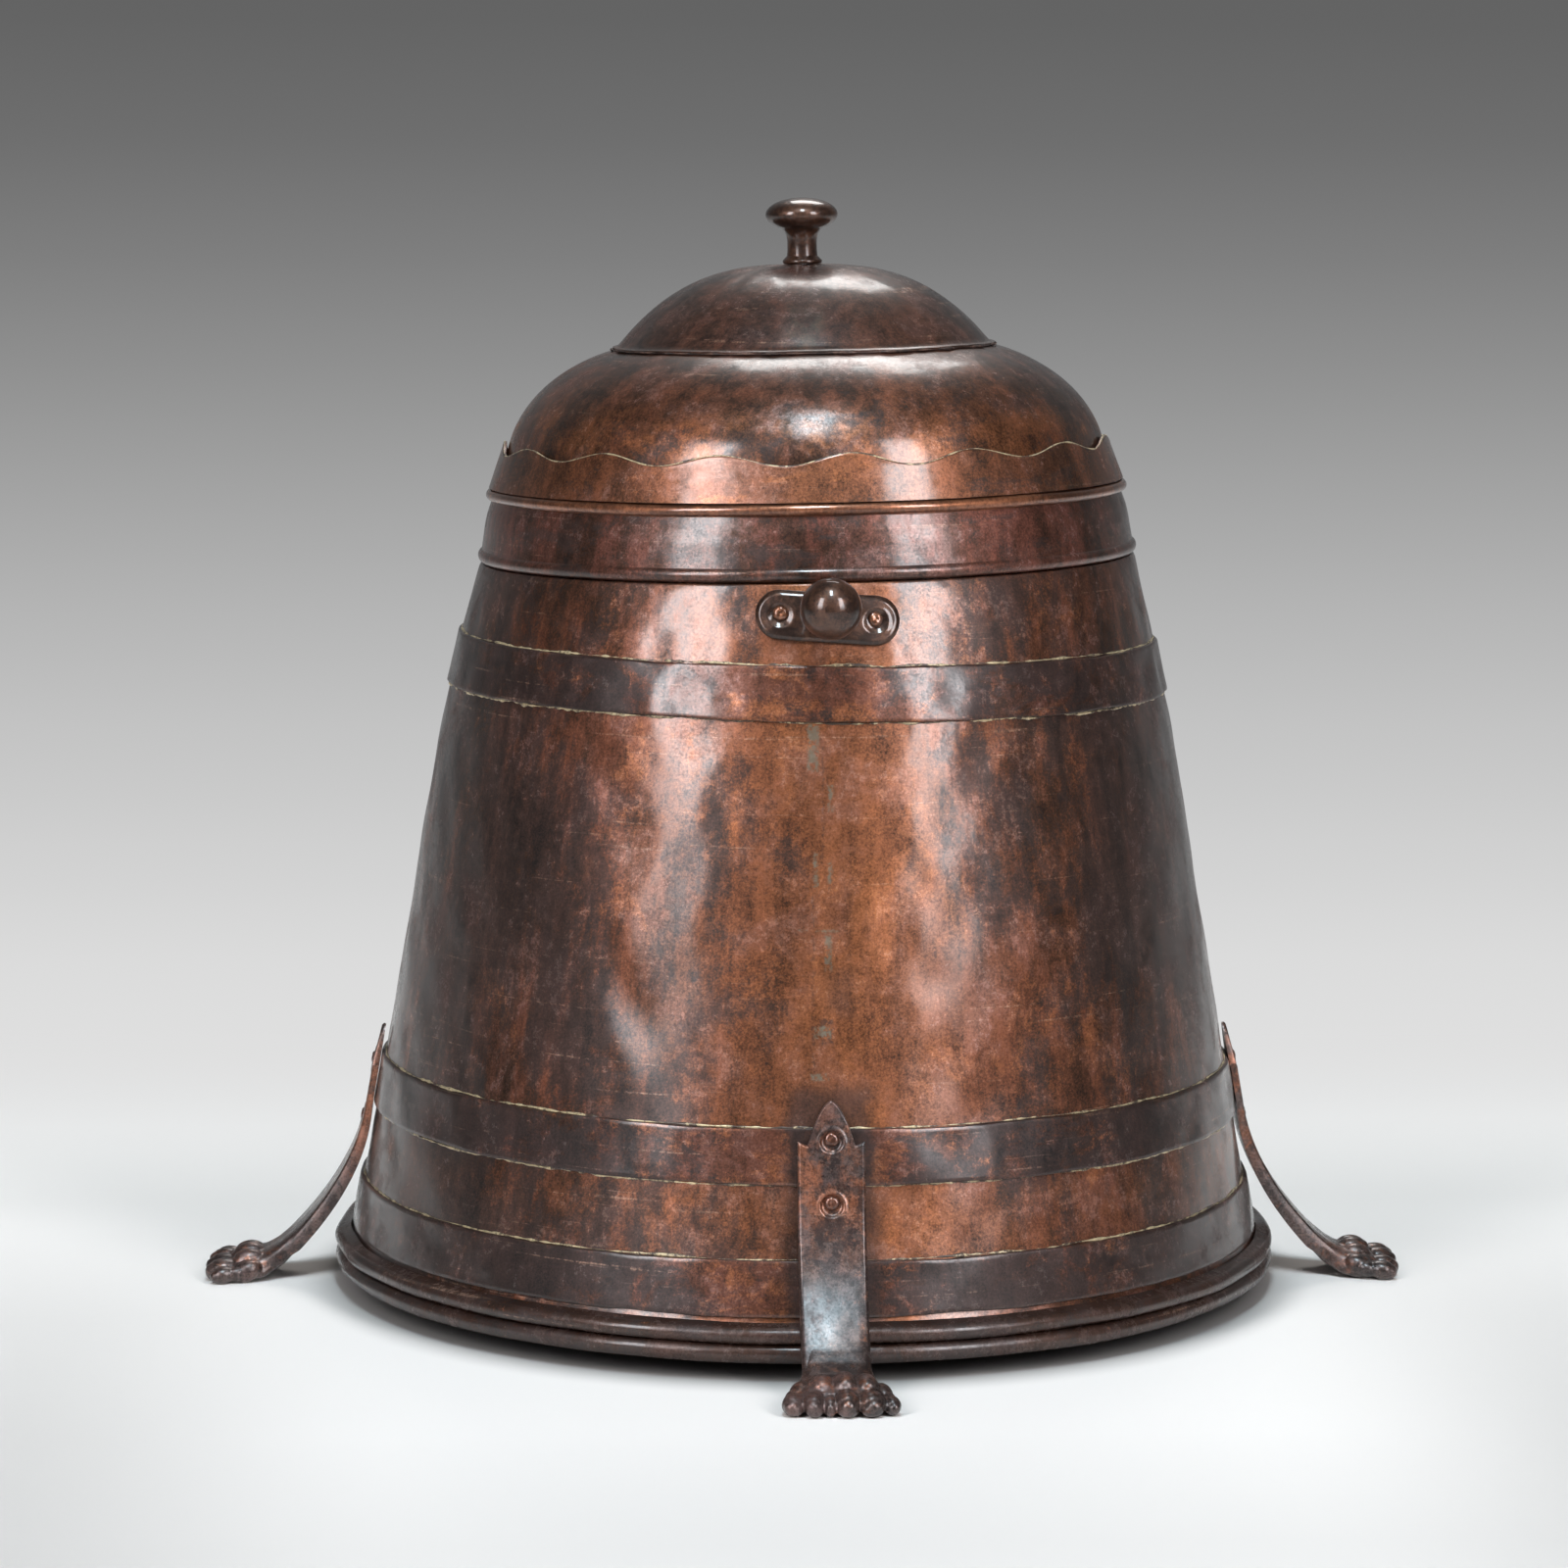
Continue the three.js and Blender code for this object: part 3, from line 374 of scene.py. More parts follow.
class Shader:
    """A node material whose inputs take constants or other nodes' outputs."""

    def __init__(self, name):
        self.material = bpy.data.materials.new(name)
        self.material.use_nodes = True
        self.tree = self.material.node_tree
        self.tree.nodes.clear()
        self.place = self.node("ShaderNodeTexCoord").outputs["Object"]

    def node(self, kind, inputs=None, **settings):
        """A new node with its settings, its inputs given by name or number."""
        made = self.tree.nodes.new(kind)
        for key, value in settings.items():
            setattr(made, key, value)
        for key, value in (inputs or {}).items():
            if isinstance(value, bpy.types.NodeSocket):
                self.tree.links.new(value, made.inputs[key])
            else:
                made.inputs[key].default_value = value
        return made

    def math(self, operation, *values, clamp=False):
        """The result of one sum, product or other operation."""
        inputs = dict(enumerate(values))
        return self.node("ShaderNodeMath", inputs, operation=operation, use_clamp=clamp).outputs[0]

    def most(self, *values):
        """The greatest of several numbers."""
        total = values[0]
        for value in values[1:]:
            total = self.math("MAXIMUM", total, value)
        return total

    def swayed(self, base, *swings):
        """The base plus each (noise, amount): the noise's swing about its middle, times the amount."""
        for noise, amount in swings:
            base = self.math("MULTIPLY_ADD", self.math("SUBTRACT", noise, 0.5), amount, base)
        return base

    def step(self, value, low, high, start=0.0, end=1.0):
        """Smooth change from start to end as the value goes from low to high."""
        inputs = {"Value": value, "From Min": low, "From Max": high, "To Min": start, "To Max": end}
        return self.node("ShaderNodeMapRange", inputs, interpolation_type="SMOOTHSTEP").outputs[0]

    def band(self, value, middle, width):
        """1 where the value is at the middle, falling smoothly to 0 at the width from it."""
        return self.step(self.math("ABSOLUTE", self.math("SUBTRACT", value, middle)), width, 0.0)

    def outside(self, value, low, high):
        """How far the value is outside low to high, and below 0 where it is inside."""
        off_middle = self.math("ABSOLUTE", self.math("SUBTRACT", value, (low + high) / 2))
        return self.math("SUBTRACT", off_middle, (high - low) / 2)

    def box(self, x, y, left, right, low, high, soft):
        """1 inside a rectangle and 0 outside it, across a soft edge."""
        away = self.most(self.outside(x, left, right), self.outside(y, low, high))
        return self.step(away, soft, -soft)

    def curve(self, value, stops):
        """A number from (place, value) stops, with the place from 0 to 1."""
        ramp = self.node("ShaderNodeValToRGB", {0: value})
        elements = ramp.color_ramp.elements
        while len(elements) < len(stops):
            elements.new(0.5)
        for element, (at, level) in zip(elements, stops):
            element.position = at
            element.color = (level, level, level, 1)
        return self.node("ShaderNodeSeparateColor", {0: ramp.outputs[0]}).outputs[0]

    def height(self):
        """How high the place is, in metres."""
        return self.node("ShaderNodeSeparateXYZ", {0: self.place}).outputs[2]

    def azimuth(self):
        """Azimuth of the place round the object's axis, 0 at the front, as a share of a half turn."""
        parts = self.node("ShaderNodeSeparateXYZ", {0: self.place}).outputs
        back = self.math("MULTIPLY", parts[1], -1.0)
        return self.math("DIVIDE", self.math("ARCTAN2", parts[0], back), math.pi)

    def round_axis(self, stops):
        """A number from (share of a whole turn from the back, value) stops round the object's axis."""
        return self.curve(self.math("MULTIPLY_ADD", self.azimuth(), 0.5, 0.5), stops)

    def noise(self, scale, detail, roughness, stretch=(1, 1, 1), offset=(0, 0, 0), distortion=0.0):
        """Noise over the object's own coordinates; stretch multiplies them first."""
        mapping = {"Vector": self.place, "Scale": stretch, "Location": offset}
        inputs = {
            "Vector": self.node("ShaderNodeMapping", mapping).outputs[0],
            "Scale": scale,
            "Detail": detail,
            "Roughness": roughness,
            "Distortion": distortion,
        }
        return self.node("ShaderNodeTexNoise", inputs).outputs[0]

    def mix(self, share, first, second):
        """Two colours, the second by its share."""
        inputs = {0: share, 6: rgba(first), 7: rgba(second)}
        return self.node("ShaderNodeMix", inputs, data_type="RGBA").outputs[2]

    def scaled(self, colour, share):
        """A colour made lighter or darker."""
        inputs = {0: colour, "Scale": share}
        return self.node("ShaderNodeVectorMath", inputs, operation="SCALE").outputs[0]

    def finish(self, colour, metallic, roughness, relief, strength, depth, coat, gloss):
        """The metal under its waxed coat: relief is worked up by strength and depth into a bump.

        coat is how much wax there is, and gloss the wax's own roughness.
        """
        bump = {"Height": relief, "Strength": strength, "Distance": depth}
        inputs = {
            "Base Color": rgba(colour),
            "Metallic": metallic,
            "Roughness": roughness,
            "Coat Weight": coat,
            "Coat Roughness": gloss,
            "Coat IOR": WAX_IOR,
            "Normal": self.node("ShaderNodeBump", bump).outputs[0],
        }
        surface = self.node("ShaderNodeBsdfPrincipled", inputs)
        self.node("ShaderNodeOutputMaterial", {0: surface.outputs[0]})
        return self.material


WAX_IOR = 1.5
BARE = (0.31, 0.112, 0.043)
WARM = (0.225, 0.078, 0.03)
BROWN = (0.132, 0.043, 0.021)
UMBER = (0.052, 0.022, 0.011)
BLACK = (0.026, 0.014, 0.012)
HAZE = (0.13, 0.074, 0.07)
SOLDER = (0.19, 0.16, 0.115)
FILINGS = (0.42, 0.25, 0.17)
EVEN_WARMTH = 0.4


def patina(
    name,
    worn,
    dark,
    scale=26.0,
    streak=1.0,
    seed=0.0,
    zones=None,
    marks=None,
    depth=0.72,
    rough=0.3,
    gloss=0.15,
    bare=BARE,
    warm=WARM,
    brown=BROWN,
    umber=UMBER,
    hazy=HAZE,
):
    """Old copper under wax: brown, with dark blotches, bare patches, streaks, scratches and specks.

    worn and dark are the thresholds of the two kinds of patch, scale and streak how fine and how
    upright the patches are. zones are (share of a whole turn from the back, warmth) stops round the
    axis, where warmth moves both thresholds and reddens the ground. marks(s) gives the shares of
    places that are painted dark, worn bare and soldered. depth is how black the dark blotches are.
    """
    s = Shader(name)
    upright = (1, 1, streak)
    cloud = s.noise(7, 3, 0.5, offset=(seed, 0, 0))
    patch = s.noise(scale, 9, 0.7, upright, (0, seed, 0), 0.6)
    other = s.noise(scale * 1.7, 9, 0.74, upright, (seed, 4, 0), 0.5)
    haze = s.noise(34, 7, 0.72, offset=(seed, 7, 3), distortion=0.4)
    wiped = s.noise(80, 6, 0.7, (1, 1, 0.08), (seed, 0, 0))
    scratch = s.noise(9, 4, 0.62, (1, 1, 60), (0, seed, 0))
    crumb = s.noise(230, 5, 0.75, offset=(seed, 2, 1))
    grain = s.noise(950, 3, 0.8)

    # Where it is dark, worn, reddish, scratched and dull
    warmth = s.round_axis(zones) if zones else EVEN_WARMTH
    shift = s.swayed(0.0, (warmth, 0.24), (cloud, 0.45))
    fine = s.swayed(0.0, (crumb, 0.26), (grain, 0.14))
    mottled = s.swayed(s.math("ADD", s.math("ADD", patch, fine), shift), (wiped, 0.25))
    blackness = s.step(mottled, dark + 0.07, dark - 0.07)
    rubbed = s.math("MULTIPLY_ADD", shift, 0.6, s.math("ADD", other, fine))
    worn_off = s.step(rubbed, worn - 0.07, worn + 0.09)
    tone = s.step(s.math("ADD", wiped, s.math("ADD", shift, fine)), 0.34, 0.68)
    reddish = s.step(s.math("ADD", warmth, fine), 0.2, 0.95)
    line = s.math("MULTIPLY", s.step(scratch, 0.62, 0.72), s.step(crumb, 0.42, 0.6))
    dull = s.step(s.math("ADD", haze, fine), 0.46, 0.64)
    if marks:
        darkening, rub, solder = marks(s)
        blackness = s.most(blackness, darkening)
        worn_off = s.most(worn_off, rub)

    colour = s.mix(tone, umber, brown)
    colour = s.mix(s.math("MULTIPLY", reddish, 0.85), colour, warm)
    colour = s.mix(s.math("MULTIPLY", dull, 0.3), colour, hazy)
    colour = s.mix(s.math("MULTIPLY", worn_off, 0.62), colour, bare)
    colour = s.mix(s.math("MULTIPLY", blackness, depth), colour, BLACK)
    colour = s.mix(s.math("MULTIPLY", line, 0.42), colour, FILINGS)
    speckle = s.swayed(1.0, (grain, 2.6), (crumb, 1.1), (haze, 2.4), (wiped, 2.2))
    colour = s.scaled(colour, s.math("MAXIMUM", speckle, 0.2))
    if marks:
        colour = s.mix(solder, colour, SOLDER)

    metallic = s.math("MULTIPLY_ADD", worn_off, 0.15, 0.68)
    metallic = s.math("MULTIPLY_ADD", blackness, -0.35, metallic)
    roughness = s.math("MULTIPLY_ADD", crumb, 0.24, rough)
    relief = s.math("MULTIPLY_ADD", grain, 0.2, s.noise(48, 3, 0.5))
    relief = s.math("MULTIPLY_ADD", s.most(blackness, line), -0.1, relief)
    wax = s.math("MULTIPLY_ADD", dull, -0.45, 1.04)
    wax = s.math("MULTIPLY_ADD", blackness, -0.25, wax)
    wax = s.swayed(wax, (crumb, 1.3), (grain, 2.4))
    wax = s.node("ShaderNodeClamp", {0: wax}).outputs[0]
    wax_roughness = s.math("MULTIPLY_ADD", dull, 0.12, s.swayed(gloss, (crumb, 0.4)))
    return s.finish(colour, metallic, roughness, relief, 0.34, 0.0008, wax, wax_roughness)


def plain_metal(
    name,
    first,
    second,
    rough,
    scale=60.0,
    low=0.42,
    high=0.6,
    metallic=0.8,
    coat=1.0,
    gloss=0.15,
    zones=None,
):
    """A metal mottled between two colours, with a fine grain; zones move the share of the second.

    low and high are the levels of noise where the second colour starts and where it is full.
    """
    s = Shader(name)
    spread = s.noise(scale, 8, 0.7, distortion=0.5)
    if zones:
        spread = s.math("ADD", spread, s.round_axis(zones))
    grain = s.noise(520, 4, 0.75)
    share = s.step(s.swayed(spread, (grain, 0.3)), low, high)
    colour = s.scaled(s.mix(share, first, second), s.swayed(1.0, (grain, 2.0)))
    roughness = s.math("MULTIPLY_ADD", grain, 0.16, rough)
    return s.finish(colour, metallic, roughness, grain, 0.25, 0.0005, coat, gloss)


# Warmth round the axis, and for the solder how much of it is pale, which is painted sheen
# On the body the warmth is most at the front middle and least towards the sides near the outline:
# partly the patina's own spread, partly painted light
BODY_ZONES = [
    (0.0, 0.4),
    (0.3, 0.2),
    (0.4, 0.3),
    (0.455, 0.6),
    (0.5, 0.95),
    (0.52, 0.85),
    (0.55, 0.5),
    (0.6, 0.42),
    (0.66, 0.15),
    (1.0, 0.4),
]
LID_ZONES = [
    (0.0, 0.3),
    (0.4, 0.4),
    (0.47, 0.34),
    (0.5, 0.24),
    (0.54, 0.5),
    (0.62, 0.5),
    (0.7, 0.2),
    (1.0, 0.3),
]
COLLAR_ZONES = [(0.0, 0.4), (0.4, 0.6), (0.5, 0.75), (0.62, 0.5), (1.0, 0.4)]
# Painted sheen on the solder: dull at the front and paler towards the sides
SOLDER_SHEEN = [(0.0, 0.1), (0.4, 0.06), (0.47, -0.14), (0.56, -0.14), (0.62, 0.06), (1.0, 0.1)]

# Marks on the wall's front seam as (left, right, low, high), in mm from the seam and from the floor,
# and for those with a soft edge how soft it is
SEAM_SOLDER = [
    (-9.5, -4.5, 252, 271),
    (-0.4, 1.6, 235, 246),
    (-6.6, -4.8, 202, 218),
    (-0.6, 1.0, 203, 214),
    (-13.6, 3.3, 185.2, 186.1),
    (-1.9, 0.6, 169, 184),
    (-6, 0.2, 141, 146),
    (-7.6, -1, 123.6, 127),
]
SEAM_DIRT = [(-7.2, -6.5, 116, 212), (-4, 1, 138, 149), (-3.2, -2.6, 214, 262)]
SEAM_STAIN = (-1.5, 9.6, 152, 169, 5.0)
# Patches at the crown's front, with a soft edge too
CROWN_DULL = (-48.0, 14.0, 424.0, 452.0, 16.0)
CROWN_GREEN = (-30.0, 4.0, 426.0, 440.0, 12.0)
# Levels where the crown's painted shade starts and is full, darkening it towards its top, and where the
# dirt by a strap ends and is full, which also goes by the distance from the strap's middle
CROWN_SHADE_PAINT = (396.0, 430.0)
STRAP_DIRT_TOP = (126.0, 116.0)
STRAP_DIRT_SIDE = (24.0, 15.0)
# Belts of bare copper as (middle, half width)
FOOT_BARE = (66.0, 26.0)
COLLAR_BARE = (388.0, 17.0)
STRAP_BARE = (84.0, 46.0)
TOES_BARE = (11.0, 9.0)
# The wall's radius where the marks are, and a quarter turn's arc at the straps, in mm
MARK_RADIUS = 175
STRAP_ARC = 314.0


def ragged_place(s):
    """Places in mm round the wall from its front seam and up from the floor, both a little shaken."""
    shake = s.swayed(0.0, (s.noise(240, 5, 0.75), 5.0))
    across = s.math("MULTIPLY_ADD", s.azimuth(), math.pi * MARK_RADIUS, shake)
    return across, s.math("MULTIPLY_ADD", s.height(), 1 / MM, shake)


def by_straps(s, up):
    """The share of dirt close beside the four straps, which stand a quarter turn apart."""
    turns = s.math("FRACT", s.math("MULTIPLY_ADD", s.azimuth(), 2.0, 0.5))
    beside = s.math("MULTIPLY", s.math("ABSOLUTE", s.math("SUBTRACT", turns, 0.5)), STRAP_ARC)
    beside = s.swayed(beside, (s.noise(60, 5, 0.7), 18.0))
    below_tip = s.step(up, *STRAP_DIRT_TOP)
    return s.math("MULTIPLY", s.step(beside, *STRAP_DIRT_SIDE), below_tip)


def band_marks(s):
    """Dirt beside the legs' straps."""
    return by_straps(s, ragged_place(s)[1]), 0.0, 0.0


def wall_marks(s):
    """Solder and dirt down the front seam, bare copper at the foot, and dirt beside the straps."""
    across, up = ragged_place(s)
    broken = s.step(s.noise(330, 4, 0.7), 0.4, 0.56)
    solder = s.most(*(s.box(across, up, *mark, 0.7) for mark in SEAM_SOLDER))
    solder = s.math("MULTIPLY", solder, broken)
    darkening = s.math("MULTIPLY", s.most(*(s.box(across, up, *mark, 0.9) for mark in SEAM_DIRT)), broken)
    darkening = s.most(darkening, s.math("MULTIPLY", s.box(across, up, *SEAM_STAIN), 0.5))
    rub = s.math("MULTIPLY", s.band(up, *FOOT_BARE), s.step(s.noise(40, 7, 0.7), 0.4, 0.6))
    darkening = s.most(darkening, by_straps(s, up))
    return darkening, s.math("MULTIPLY", rub, 0.45), s.math("MULTIPLY", solder, 0.9)


def lid_marks(s):
    """A dull green patch at the front of the crown, the crown darkened towards its top, partly dark
    patina and partly painted shade, and bare copper over the waved collar.
    """
    across, up = ragged_place(s)
    cloud = s.step(s.noise(70, 7, 0.7), 0.42, 0.6)
    darkening = s.math("MULTIPLY", s.box(across, up, *CROWN_DULL), cloud)
    green = s.math("MULTIPLY", s.box(across, up, *CROWN_GREEN), s.math("MULTIPLY", cloud, 0.22))
    # Painted shade: the crown darkens towards its top, over the dull patch
    darkening = s.most(s.math("MULTIPLY", darkening, 0.6), s.step(up, *CROWN_SHADE_PAINT, 0.0, 0.85))
    rub = s.math("MULTIPLY", s.band(up, *COLLAR_BARE), s.step(s.noise(38, 7, 0.72), 0.44, 0.58))
    return darkening, s.math("MULTIPLY", rub, 0.9), green


def leg_marks(s):
    """Bare copper on the upper half of a strap and on the tips of the toes."""
    up = s.math("MULTIPLY", s.height(), 1 / MM)
    strap = s.math("MULTIPLY", s.band(up, *STRAP_BARE), s.step(s.noise(46, 8, 0.74), 0.42, 0.54))
    toes = s.math("MULTIPLY", s.band(up, *TOES_BARE), s.step(s.noise(210, 5, 0.7), 0.5, 0.62))
    return 0.0, s.most(strap, s.math("MULTIPLY", toes, 0.7)), 0.0


wall_copper = patina(
    "wall_copper", 0.61, 0.46, scale=17, streak=0.6, zones=BODY_ZONES, marks=wall_marks
)
band_copper = patina(
    "band_copper",
    0.6,
    0.515,
    scale=34,
    streak=1.6,
    seed=2.0,
    zones=BODY_ZONES,
    marks=band_marks,
    depth=0.88,
    warm=(0.125, 0.043, 0.022),
    brown=(0.085, 0.032, 0.021),
)
lid_copper = patina(
    "lid_copper", 0.66, 0.41, scale=24, streak=1.8, seed=5.0, zones=LID_ZONES, marks=lid_marks
)
collar_copper = patina(
    "collar_copper", 0.64, 0.36, scale=24, streak=2.4, seed=6.0, zones=COLLAR_ZONES
)
skirt_copper = patina(
    "skirt_copper",
    0.68,
    0.4,
    scale=30,
    streak=2.4,
    seed=8.0,
    zones=LID_ZONES,
    warm=(0.17, 0.056, 0.032),
    brown=(0.13, 0.042, 0.028),
)
base_copper = patina(
    "base_copper",
    0.68,
    0.5,
    scale=50,
    seed=7.0,
    rough=0.4,
    gloss=0.2,
    warm=(0.062, 0.026, 0.017),
    brown=(0.04, 0.018, 0.012),
    hazy=(0.05, 0.03, 0.028),
)
leg_bronze = patina(
    "leg_bronze",
    0.62,
    0.42,
    scale=60,
    seed=9.0,
    marks=leg_marks,
    depth=0.85,
    gloss=0.26,
    bare=(0.36, 0.12, 0.05),
    warm=(0.09, 0.055, 0.043),
    brown=(0.09, 0.056, 0.047),
    umber=(0.05, 0.035, 0.032),
)
bead_copper = plain_metal(
    "bead_copper",
    (0.14, 0.055, 0.03),
    (0.33, 0.125, 0.06),
    0.3,
    scale=26,
    low=0.38,
    high=0.66,
    metallic=0.85,
    gloss=0.12,
)
knob_bronze = plain_metal(
    "knob_bronze",
    (0.03, 0.014, 0.009),
    (0.08, 0.036, 0.021),
    0.3,
    scale=50,
    metallic=0.6,
    coat=0.75,
    gloss=0.07,
)
rivet_copper = plain_metal(
    "rivet_copper", (0.1, 0.04, 0.025), (0.2, 0.08, 0.05), 0.3, scale=200, gloss=0.08
)
pin_copper = plain_metal(
    "pin_copper", (0.13, 0.05, 0.028), (0.3, 0.12, 0.06), 0.3, scale=200, gloss=0.1
)
iron = plain_metal("iron", (0.07, 0.06, 0.055), (0.13, 0.09, 0.06), 0.5, scale=90, coat=0.0)
spelter = plain_metal(
    "spelter",
    (0.06, 0.038, 0.026),
    (0.5, 0.4, 0.24),
    0.42,
    scale=130,
    low=0.44,
    high=0.58,
    metallic=0.6,
    coat=0.6,
    gloss=0.3,
    zones=SOLDER_SHEEN,
)
grime = plain_metal(
    "grime", (0.028, 0.016, 0.013), (0.1, 0.05, 0.034), 0.6, scale=160, metallic=0.2, coat=0.2
)

# ---- Body ----

SEAT_ROUND = 1.3


def wall_face():
    """The outer face from the neck, over the rounded shoulder, down the wall and out on the flange."""
    height = np.linspace(SEAT_LEVEL - 2, WALL_FOOT_LEVEL + 1.5, 120)
    bend = WALL_FOOT_LEVEL - FLANGE_LEVEL
    flange = [
        (WALL_FOOT_RADIUS + 0.5, FLANGE_LEVEL + bend * 0.62),
        (WALL_FOOT_RADIUS + 1.3, FLANGE_LEVEL + bend * 0.3),
        (WALL_FOOT_RADIUS + 2.6, FLANGE_LEVEL + bend * 0.08),
        (WALL_FOOT_RADIUS + FLANGE_WIDTH, FLANGE_LEVEL),
    ]
    turn = arc((WALL_MOUTH_RADIUS - 1.2, SEAT_LEVEL - SEAT_ROUND), SEAT_ROUND, 90, 10, 5)
    seat = np.linspace((NECK_RADIUS + FIT, SEAT_LEVEL), (WALL_MOUTH_RADIUS - 1.6, SEAT_LEVEL), 4)
    return path(seat, turn, np.stack([wall_radius(height), height], -1), flange)


def mouth_rise(a, r, z):
    """How much the wall's leaning top is raised: x sin(lean), in full at the seat and fading below."""
    share = np.clip((z - SEAT_LEVEL + LEAN_RISE) / LEAN_RISE, 0, 1)
    return r * np.sin(a) * math.sin(MOUTH_LEAN) * share


def wall_warp(a, r, z):
    """The wall's unevenness, faded out at its foot and under its seat, and the lean of its top."""
    return wall_follow(a, z) * np.clip((SEAT_LEVEL - 3 - z) / 15, 0, 1), mouth_rise(a, r, z)


wall = turned(sheet_loop(wall_face(), -WALL_SHEET), BODY_STEPS, wall_warp)
piece("body_shell", wall, "scuttle", ["body_wall"], wall_copper)

SEAT_MIDDLE = Matrix.Translation((0, 0, SEAT_LEVEL))
MOUTH_PLACE = SEAT_MIDDLE @ Matrix.Rotation(-MOUTH_LEAN, 4, "Y") @ SEAT_MIDDLE.inverted()
NECK_INSIDE = NECK_RADIUS - WALL_SHEET
NECK_SOFT = 0.5


def neck_section():
    """A tall rectangle with its two outer corners rounded."""
    low, high = SEAT_LEVEL - NECK_DEPTH, SEAT_LEVEL + NECK_RISE
    return path(
        (NECK_INSIDE, low),
        arc((NECK_RADIUS - NECK_SOFT, low + NECK_SOFT), NECK_SOFT, -90, 0, 4),
        arc((NECK_RADIUS - NECK_SOFT, high - NECK_SOFT), NECK_SOFT, 0, 90, 4),
        (NECK_INSIDE, high),
    )


def hoop_section():
    """Half an oval, flat against the neck's inside at its upper edge."""
    out, half = NECK_INSIDE - FIT, HOOP_HEIGHT / 2
    middle = SEAT_LEVEL + NECK_RISE - half
    bulge = arc((out, middle), (HOOP_DEPTH, half), 95, 265, 14)
    return path((out, middle - half), (out, middle + half), bulge)


neck = moved(turned(neck_section(), LID_STEPS), MOUTH_PLACE)
piece("neck", neck, "scuttle", ["neck_collar"], wall_copper)

hoop = moved(turned(hoop_section(), LID_STEPS), MOUTH_PLACE)
piece("mouth_ring", hoop, "scuttle", ["mouth_hoop"], band_copper)


def band_shape(low, high, lean, seed):
    """A strip round the wall, r = wall's radius + its sheet, between a low and a high edge.

    The edges waver and lean by z = level - x tan(lean). The section is given as (share of the sheet,
    share of the height).
    """
    share = np.concatenate([[0, 0.012, 0.035], np.linspace(0.08, 0.92, 12), [0.965, 0.988, 1]])
    out = np.concatenate([[0.55, 0.9, 1], np.ones(12), [1, 0.9, 0.55]])
    section = path(np.stack([out, share], -1), np.stack([np.zeros(10), np.linspace(1, 0, 10)], -1))

    def warp(a, r, s):
        uneven = 0.28 * waver(a, seed, 22) + 0.12 * waver(a, seed + 1, 70)
        edge = low + (high - low) * s + uneven * (2 * s - 1)
        x = wall_radius(edge) * np.sin(a)
        z = edge - x * math.tan(lean)
        bulge = 0.1 * ripple(a, z, seed + 2, 30, 30) + dents(a, z, seed + 3, 40, low, high, 6, 0.35)
        radius = wall_radius(z) + FIT + BAND_SHEET * r + wall_follow(a, z) + bulge * (r > 0)
        return radius - r, z - s

    return turned(section, BODY_STEPS, warp)


for i, (name, (low, high, lean)) in enumerate(BANDS.items()):
    strip = band_shape(low, high, lean, 30 + 10 * i)
    piece(f"{name}_strip", strip, "scuttle", [name], band_copper)

ROLL_MIDDLE = WALL_FOOT_RADIUS + RIM_PROJECTION - TRAY_ROLL


def tray_face():
    """The tray's upper face: a flat floor, an arc for its rolled edge, and the lip on the flange."""
    centre = (ROLL_MIDDLE, TRAY_LEVEL + TRAY_ROLL)
    floor = np.stack([np.linspace(0, centre[0] - 1, 16), np.full(16, TRAY_LEVEL)], -1)
    lip = (WALL_FOOT_RADIUS + TRAY_LIP_GAP, centre[1] + TRAY_ROLL + TRAY_LIP)
    return path(floor, arc(centre, TRAY_ROLL, -85, 95, 14), lip)


def tray_warp(a, r, z):
    """The edge's waver, in and out and up and down, and none on the tray's floor."""
    edge = np.clip((r - WALL_FOOT_RADIUS + 4) / 6, 0, 1)
    return edge * 0.4 * (waver(a, 61, 24) - 1), edge * 0.25 * waver(a, 62, 18)


tray = turned(sheet_loop(tray_face(), TRAY_SHEET), BODY_STEPS, tray_warp)
piece("tray", tray, "scuttle", ["base_tray"], base_copper)


def foot_warp(a, r, z):
    """The foot ring's waver, in and out and up and down."""
    return 0.5 * waver(a, 63, 20), 0.1 * waver(a, 64, 30)


foot_middle = (ROLL_MIDDLE - FOOT_RING_INSET, STAND_HEIGHT + FOOT_WIRE / 2)
foot_wire = turned(arc(foot_middle, FOOT_WIRE / 2, 0, 340, 17), BODY_STEPS, foot_warp)
piece("foot_wire", foot_wire, "scuttle", ["foot_ring"], base_copper)

# How tall and how wide a solder run is for its size, and how far its middle is out from the wall
SEAM_TALL = 1.15
SEAM_WIDE = 0.8
SEAM_OFF = 0.2


def seam(level, lean, seed, size):
    """A run of solder on the wall, z = level - x tan(lean): an oval in section, uneven in size."""
    section = arc((0, 0), 1, 0, 330, 11)

    def warp(a, r, s):
        swell = 0.75 + 0.5 * waver(a, seed, 60) + 0.4 * waver(a, seed + 1, 240)
        thick = size * np.clip(swell, 0.12, 2.2)
        x = wall_radius(level) * np.sin(a)
        z = level - x * math.tan(lean) + 0.25 * waver(a, seed + 2, 40) + s * thick * SEAM_TALL
        return wall_radius(z) + SEAM_OFF + wall_follow(a, z) + r * thick * SEAM_WIDE - r, z - s

    return turned(section, 900, warp)


for name, (low, high, lean) in BANDS.items():
    above = seam(high + 0.35, lean, 100 + int(high), 0.42)
    piece(f"{name}_seam_high", above, "scuttle", [], spelter)
    if name != "base_band":
        below = seam(low - 0.3, lean, 100 + int(low), 0.5)
        piece(f"{name}_seam_low", below, "scuttle", [], spelter)

# ---- Places on the wall ----


